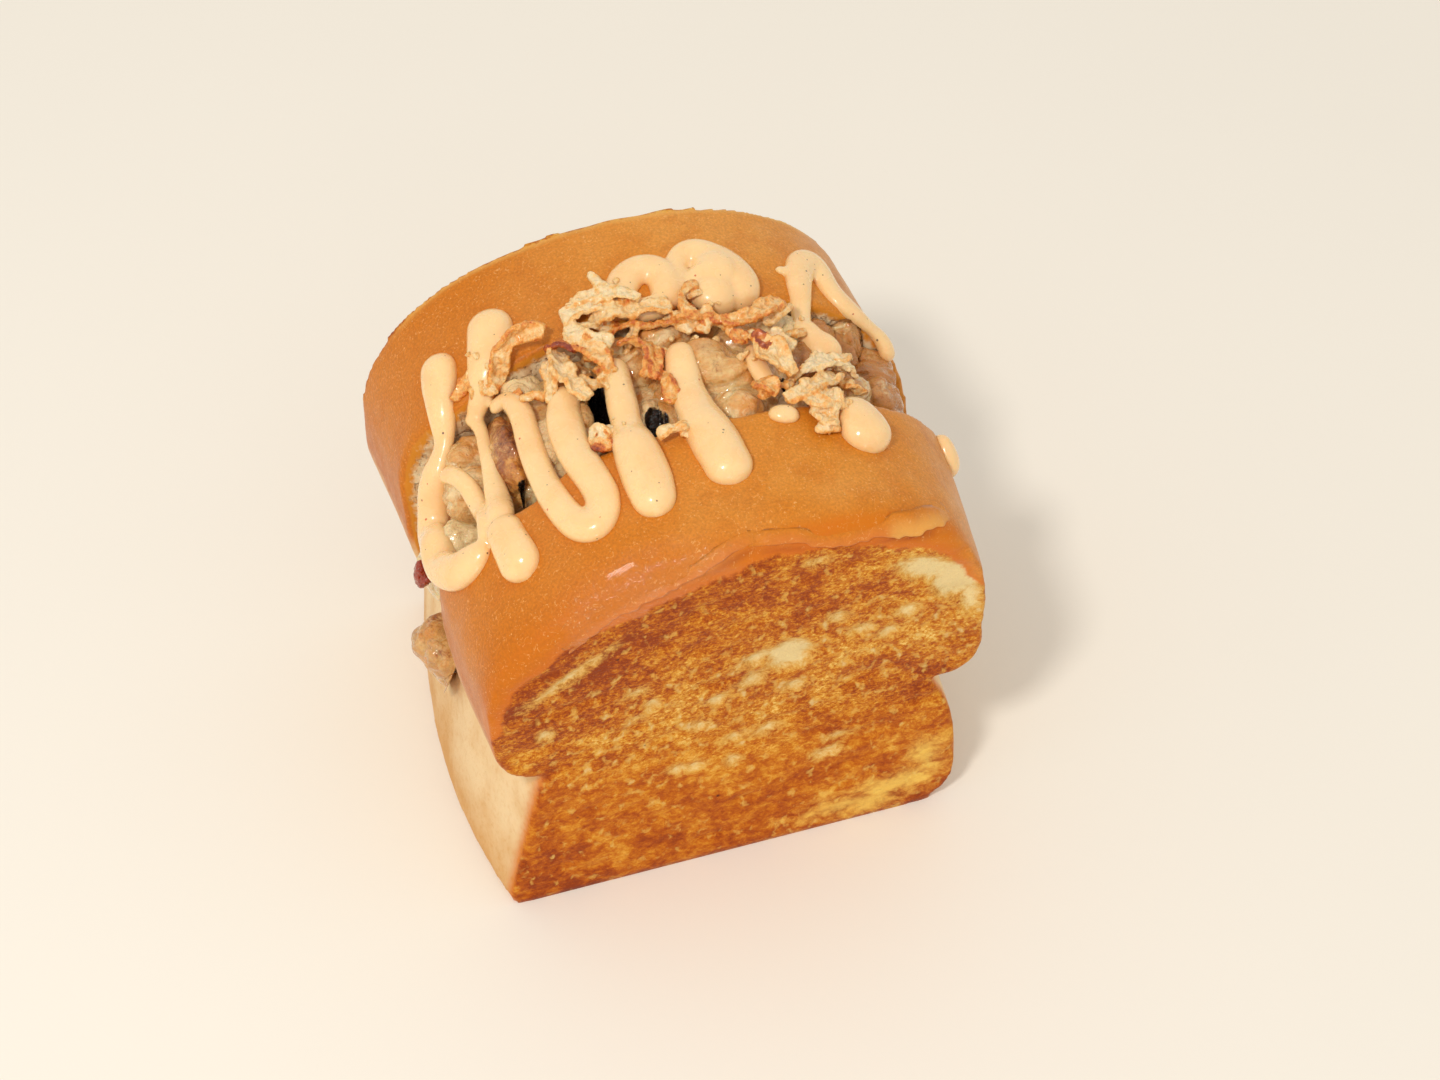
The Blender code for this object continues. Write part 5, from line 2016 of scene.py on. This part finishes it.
@dataclass
class Onions:
    """The crisp onion strips strewn over the heap, and their crumbs."""

    form: LoafForm
    heap: HeapForm
    ground: Ground
    strips: tuple[Strip, ...] = (
        Strip(((-20.2, 19.7, 3.5), (-23.1, 21.1, 4.5), (-26.2, 21.3, 5), (-28.8, 20, 4),
            (-30.1, 18.8, 2.5), (-31.3, 16.8, 1)), 3.6, 50, 0.36),
        Strip(((-31.5, 21.6, 1.8), (-31.5, 18.8, 1.6), (-31, 15.8, 1)), 2, 30, 0.5),
        Strip(((-14.6, 24.9, 1.5), (-9.8, 24.9, 3), (-5.7, 23.9, 4), (-1, 21.1, 3)), 2.8, 15, 0.05),
        Strip(((-8.3, 30, 3), (-7.4, 26.2, 4), (-6.1, 22.4, 4)), 2.4, -20, 0.05),
        Strip(((-16.1, 22.4, 1.5), (-12.4, 22.8, 2.5), (-8.2, 21.5, 3)), 3, 10, 0.05),
        Strip(((-10.8, 20, 1.5), (-6.3, 20.2, 2.5), (-0.5, 19.6, 3), (4.1, 17.2, 3)), 3.6, 10, 0.25),
        Strip(((3.7, 15.7, 2.5), (7.3, 14.8, 2.5), (11.6, 15.2, 2)), 2.6, 15, 0.38),
        Strip(((-8.3, 20.1, 1.2), (-2.3, 17.2, 1.2), (3.6, 15.5, 1.2), (9.9, 14.8, 1)), 1.8, 30, 0.5),
        Strip(((-19, 16.5, 2), (-19.5, 10.5, 3), (-18.3, 5.4, 3), (-16.3, 2.5, 2)), 3.8, 20, 0.15),
        Strip(((-20.9, 15.5, 1.5), (-22, 9.2, 2.2), (-23.3, 6.2, 1.5)), 2.6, -40, 0.2),
        Strip(((-20.7, 17.2, 2.5), (-18.2, 16.4, 3), (-16.1, 14, 2.8)), 1.9, 20, 0.95),
        Strip(((-14.8, 15.9, 2.5), (-13, 12.6, 3.2), (-11.6, 9.1, 3), (-10.6, 7.5, 2)), 2.9, 15, 0.4),
        Strip(((-15.8, 20.6, 2), (-13.8, 16.5, 3), (-10.9, 14.3, 3.5), (-9, 12.7, 3)), 3, -10, 0.05),
        Strip(((-7.7, 13.4, 1.5), (-4.7, 12.9, 2.5), (-3.3, 9.7, 3), (-3.9, 6.1, 2.5), (-5.7, 4.3, 1.2)),
            1.9, 50, 0.5),
        Strip(((-1.5, 11.8, 1), (-2.2, 6.7, 1.8), (-4.2, 2.9, 1.5)), 2.6, 20, 0.6),
        Strip(((-1.2, 4.8, 0.6), (-1.5, 0, 1.2), (-1.4, -3.5, 1)), 3.2, -20, 0.5),
        Strip(((12.5, 12.3, 1.8), (17, 12.1, 2.5), (21.4, 13.4, 3.2), (25.7, 16.2, 3)), 3, 10, 0.4),
        Strip(((9.2, 15.6, 1.5), (12.6, 12.8, 1.8), (16.3, 11.8, 1.2)), 2.2, 20, 0.6),
        Strip(((20.3, 11.8, 1.5), (24.4, 13.4, 2), (26.4, 15.9, 2.4)), 3, -10, 0.1),
        Strip(((16.8, 7.4, 2.8), (18.3, 3.4, 3.4), (19.9, -0.3, 3.2), (21.5, -3.7, 2.2)), 4.2, 15, 0.22),
        Strip(((16.9, 6.5, 3.7), (18, 4.9, 3.9), (18.8, 3.1, 3.9)), 2.8, 15, 0.88),
        Strip(((14.5, -3, 1.2), (15.7, -5.8, 1.8), (17.1, -7.5, 1.4)), 3.4, 0, 0.5),
        Strip(((20.4, 7.5, 2.5), (22.2, 4.9, 3), (23.6, 3, 2.4)), 2.8, -15, 0.1),
        Strip(((18, -9, 1.4), (21.9, -8, 2.2), (26.4, -5.6, 2.8), (30.6, -2.8, 3)), 3.2, 10, 0.2),
        Strip(((24, -1.8, 2), (29, 0, 3), (33.2, 0.4, 3.2), (35.2, 0.3, 2.4)), 3.8, 10, -0.1),
        Strip(((30.9, 3.9, 2.4), (32.7, 2.1, 2.8), (35.8, 5, 2.6)), 2.4, 0, 0.15),
        Strip(((23.2, -11.6, 1.4), (24.2, -14.5, 2.2), (26.3, -15.4, 2)), 4, 0, 0.05),
        Strip(((25.2, -8.3, 1.6), (26.9, -11.2, 2.4), (28.9, -12.3, 2)), 3.4, 20, 0.1),
        Strip(((22.4, -15.3, 1), (23.9, -16.6, 1.4), (26.1, -15.9, 1.4)), 2.8, -10, 0.15),
        Strip(((22.6, -9.6, 1.6), (23.4, -12.4, 3), (25.6, -13.6, 3.2)), 3.6, 35, 0.1),
        Strip(((26.8, -8.6, 2.2), (27, -11.6, 3.2), (25, -14.4, 2.4)), 3.4, -30, 0),
        Strip(((-7.1, -12.1, 1.2), (-5.4, -11.7, 2.2), (-3, -11.3, 2.6), (-1.7, -11.9, 2.2),
            (-2.8, -13.1, 1.2)), 2.4, 20, 0.2),
        Strip(((-18.5, -4.9, 0.6), (-16.9, -6.1, 1.4), (-15.5, -8.1, 1)), 3, 0, 0.1),
        Strip(((-18.5, -7.1, 0.2), (-17.7, -8.4, 0.6), (-16.7, -9.5, 0.4)), 2.4, 0, 0.9),
        Strip(((10.5, 21.8, 3), (7.8, 20.9, 4), (6.3, 18.6, 4), (6.8, 15.7, 3.5), (8.9, 14.8, 2.5)),
            1.9, 40, 0.35),
        Strip(((-33.6, 18.6, 2), (-32.3, 16, 2.5), (-30.9, 15.9, 2)), 2, 0, 0.2),
    )
    step: float = 0.4
    rows: int = 9
    thickness: float = 1.0
    fullness: float = 1.15
    voxel: float = 0.3
    smoothing: int = 1
    shreds: int = 46
    shred_length: Pair = (1.6, 3.4)
    crumbs: int = 90
    crumb_size: Pair = (0.35, 0.85)
    crumble: Pair = (0.2, 0.14)

    def ribbon(self, strip: Strip, number: int) -> Body:
        """One crinkled strip.

        Args:
            strip: Its way, width and roll.
            number: Its number, which picks its crinkles.

        Returns:
            Its sheet, with how near each point is to an edge and how fried it is, from 0 to 1.
        """
        way, along = smooth_way(strip.way, self.step)
        levels = np.array([self.heap.level(self.form, x, y) for x, y, _ in way])
        centre = np.stack([way[:, 0], way[:, 1], eased(levels, 6) + way[:, 2]], 1)
        ahead = unit_rows(np.gradient(centre, axis=0))
        flat = unit_rows(np.cross(ahead, (0.0, 0.0, 1.0)))
        lift = np.cross(flat, ahead)
        spot = np.stack([along, np.full(len(along), number * 9.1), along * 0.0], 1)
        roll = (np.radians(strip.roll) + 0.5 * soft_noise(spot, 5.0, 70))[:, None]
        across = np.cos(roll) * flat + np.sin(roll) * lift
        out = np.cos(roll) * lift - np.sin(roll) * flat
        share = along / along[-1] * 2.0 - 1.0
        half = self.fullness * strip.width / 2 * (1.0 - 0.45 * np.abs(share) ** 4)
        half *= 1.0 + 0.32 * rough_noise(spot, 2.8, 71, 2)
        rows = np.linspace(-1.0, 1.0, self.rows)
        grid = centre[:, None] + across[:, None] * (rows[None, :] * half[:, None])[:, :, None]
        seeded = grid.reshape(-1, 3) + number * 3.3
        crinkle = 0.7 * soft_noise(seeded, 1.9, 73) + 0.35 * soft_noise(seeded, 0.9, 74)
        bend = 0.4 * rows[None, :] ** 2 * half[:, None] + crinkle.reshape(len(along), self.rows)
        grid = grid + out[:, None] * bend[:, :, None]
        faces = []
        for step in range(len(along) - 1):
            for row in range(self.rows - 1):
                low = step * self.rows + row
                faces.append((low, low + 1, low + self.rows + 1, low + self.rows))
        rim = np.maximum(np.abs(rows)[None, :], np.abs(share)[:, None] ** 6).ravel()
        return Body(grid.reshape(-1, 3), faces, {"rim": rim, "fried": np.full(len(rim), strip.fried)})

    def strewn(self) -> list[Strip]:
        """Small shreds that lie among the strips, each near one of them.

        Returns:
            The shreds, as strips.
        """
        random = np.random.default_rng(11)
        made = []
        for _ in range(self.shreds):
            near = self.strips[random.integers(len(self.strips))]
            spot = np.array(near.way[random.integers(len(near.way))])
            x, y, rise = spot + random.normal(0.0, 1.0, 3) * (2.4, 2, 0)
            turn, half = random.uniform(0.0, math.pi), random.uniform(*self.shred_length)
            along = np.array((math.cos(turn), math.sin(turn))) * half
            bent = np.array((-math.sin(turn), math.cos(turn))) * random.normal(0.0, 0.8)
            lifts = max(rise - 1.0, 0.8) * random.uniform(0.4, 1.0, 3)
            places = np.array((x, y)) + np.array((-along, bent, along))
            way = tuple((float(a), float(b), float(c)) for (a, b), c in zip(places, lifts))
            width, roll = random.uniform(1.2, 2.4), random.uniform(-50, 50)
            made.append(Strip(way, width, roll, random.uniform(-0.05, 0.6)))
        return made

    def scatter(self, points: Array) -> list[Body]:
        """Crumbs that fell off the strips, each on what is under it.

        Args:
            points: The strips' points, near which they lie.

        Returns:
            The crumbs' bodies.
        """
        random = np.random.default_rng(7)
        made = []
        for number in range(self.crumbs):
            x, y, _ = points[random.integers(len(points))] + random.normal(0.0, 2.2, 3)
            place, _ = self.ground.under(x, y)
            size = random.uniform(*self.crumb_size)
            if place is not None and place.z > self.heap.level(self.form, x, y) - 3.0:
                crumb = ball(2)
                lumps = 1.0 + 0.4 * soft_noise(crumb.points + number * 3.1, 0.8, 75)
                lift = np.array(place) + (0.0, 0.0, size * 0.3)
                crumb.points = crumb.points * lumps[:, None] * size + lift
                crumb.values = {"rim": np.full(len(lumps), 0.7), "fried": np.full(len(lumps), 0.25)}
                made.append(crumb)
        return made

    def build(self) -> Piece:
        """The finished strips, as one piece.

        Returns:
            The piece.
        """
        strips = [*self.strips, *self.strewn()]
        ribbons = [self.ribbon(strip, number) for number, strip in enumerate(strips)]
        sheets = new_piece("sheets", gathered("sheets", ribbons))
        thick = sheets.modifiers.new("thickness", "SOLIDIFY")
        thick.thickness = self.thickness * MM
        thick.offset = 0.0
        crumbs = self.scatter(np.concatenate([ribbon.points for ribbon in ribbons]))
        whole = gathered("onion_strips", [taken(shaped(sheets)), *crumbs])
        onions = new_piece("onion_strips", whole)
        mesh = remeshed(onions, self.voxel, self.smoothing)
        carry([*ribbons, *crumbs], mesh)
        skin = points_of(mesh)
        coarse, fine = self.crumble
        crumbly = coarse * soft_noise(skin, 0.9, 76) + fine * soft_noise(skin, 0.45, 77)
        set_points(mesh, skin + normals_of(mesh) * crumbly[:, None])
        mesh.materials.clear()
        mesh.materials.append(OnionFinish().material())
        return onions


# ---- the studio


@dataclass(frozen=True)
class Lamp:
    """A lamp that points at the sandwich: its place, its width, its height and its power in watts."""

    name: str
    place: Triple
    width: float
    height: float
    power: float


@dataclass(frozen=True)
class Studio:
    """A cream table under soft light, seen from above the front left."""

    yaw: float = -17.4
    elevation: float = 49.4
    distance: float = 651.0
    target: Triple = (2.0, 0.0, 41.85)
    target_pixel: Pair = (690.0, 560.0)
    picture: Pair = (1440.0, 1080.0)
    lens: float = 82.25
    sensor: float = 36.0
    floor_half: float = 4000.0
    sky: Colour = (1.0, 0.985, 0.95, 1.0)
    sky_strength: float = 0.75
    lamp_colour: Triple = (1.0, 0.97, 0.92)
    clip: Pair = (0.05, 20.0)
    lamps: tuple[Lamp, ...] = (
        Lamp("softbox", (-400.0, -390.0, 880.0), 140.0, 140.0, 3.9),
        Lamp("glint", (-150.0, -940.0, 62.0), 34.0, 12.0, 0.5),
    )

    def camera(self) -> None:
        """Places the camera where the picture was taken from."""
        a, e = math.radians(self.yaw), math.radians(self.elevation)
        back = Vector((math.sin(a) * math.cos(e), -math.cos(a) * math.cos(e), math.sin(e)))
        right = Vector((math.cos(a), math.sin(a), 0.0))
        up = back.cross(right)
        focal = self.lens / self.sensor * self.picture[0]
        shift_x = (self.target_pixel[0] - self.picture[0] / 2) / focal * self.distance
        shift_y = -(self.target_pixel[1] - self.picture[1] / 2) / focal * self.distance
        place = Vector(self.target) + back * self.distance - right * shift_x - up * shift_y
        data = bpy.data.cameras.new("camera")
        data.lens = self.lens
        data.sensor_width = self.sensor
        data.clip_start, data.clip_end = self.clip
        made = bpy.data.objects.new("camera", data)
        made.rotation_mode = "QUATERNION"
        made.location = place * MM
        made.rotation_quaternion = back.to_track_quat("Z", "Y")
        bpy.context.scene.collection.objects.link(made)
        bpy.context.scene.camera = made

    def floor(self) -> None:
        """The table that the sandwich stands on."""
        half = self.floor_half
        corners = np.array(((-half, -half, 0), (half, -half, 0), (half, half, 0), (-half, half, 0)))
        made = new_piece("table", new_mesh("table", corners, [(0, 1, 2, 3)]))
        made.data.materials.append(FloorFinish().material())

    def light(self) -> None:
        """A wide sky of soft light, a softbox at the upper front left and a small low lamp."""
        world = bpy.data.worlds.new("studio")
        world.use_nodes = True
        ground = world.node_tree.nodes["Background"]
        ground.inputs["Color"].default_value = self.sky
        ground.inputs["Strength"].default_value = self.sky_strength
        bpy.context.scene.world = world
        for lamp in self.lamps:
            data = bpy.data.lights.new(lamp.name, "AREA")
            data.shape = "ELLIPSE"
            data.size, data.size_y = lamp.width * MM, lamp.height * MM
            data.energy = lamp.power
            data.color = self.lamp_colour
            made = bpy.data.objects.new(lamp.name, data)
            made.rotation_mode = "QUATERNION"
            made.location = Vector(lamp.place) * MM
            made.rotation_quaternion = (Vector(lamp.place) - Vector(self.target)).to_track_quat("Z", "Y")
            bpy.context.scene.collection.objects.link(made)

    def build(self) -> None:
        """Camera, table and light."""
        self.camera()
        self.floor()
        self.light()
        bpy.context.scene.view_settings.view_transform = "Standard"


def fitted(mesh: Mesh, box: Sequence[Sequence[float]], room: float = 1.6) -> None:
    """Keeps a mesh inside a box: its sides by a hair, its top by a soft squeeze.

    Args:
        mesh: The mesh to fit.
        box: The box's lowest and highest corners, in metres.
        room: Over what height below the box's top the squeeze acts, in millimetres.
    """
    low, high = (np.array(corner) / MM for corner in box)
    points = points_of(mesh)
    over = np.maximum(points[:, 2] - (high[2] - room), 0.0)
    points[:, 2] -= over - room * (1.0 - np.exp(-over / room))
    set_points(mesh, np.clip(points, low, high))


def seat(piece: Piece, nodes: Sequence[Node]) -> None:
    """Fixes a piece to the model, names its finish and hides the solids that it stands for.

    Args:
        piece: The piece.
        nodes: The solids that it stands for.
    """
    fitted(piece.data, SOLID_BOX)
    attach(piece, "root")
    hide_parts(*[node.value for node in nodes])
    LOG.info("%s: %d faces", piece.name, len(piece.data.polygons))


def main() -> None:
    """Builds the sandwich's pieces in order and keeps the sizes."""
    logging.basicConfig(level=logging.INFO, format="%(message)s")
    form, heap = LoafForm(), HeapForm()
    loaf = Loaf(form)
    bread = loaf.build()
    seat(bread, [Node.BREAD])
    chicken = Chicken(form, heap).build()
    seat(chicken, [Node.FILLING])
    seat(CrustFold(loaf, Ground([bread])).build(), [Node.BREAD])
    sauce = Drizzle(form, heap, Ground([bread, chicken])).build()
    seat(sauce, [Node.BREAD, Node.FILLING])
    seat(Onions(form, heap, Ground([bread, chicken, sauce])).build(), [Node.FILLING])
    Studio().build()


if __name__ == "__main__":
    main()
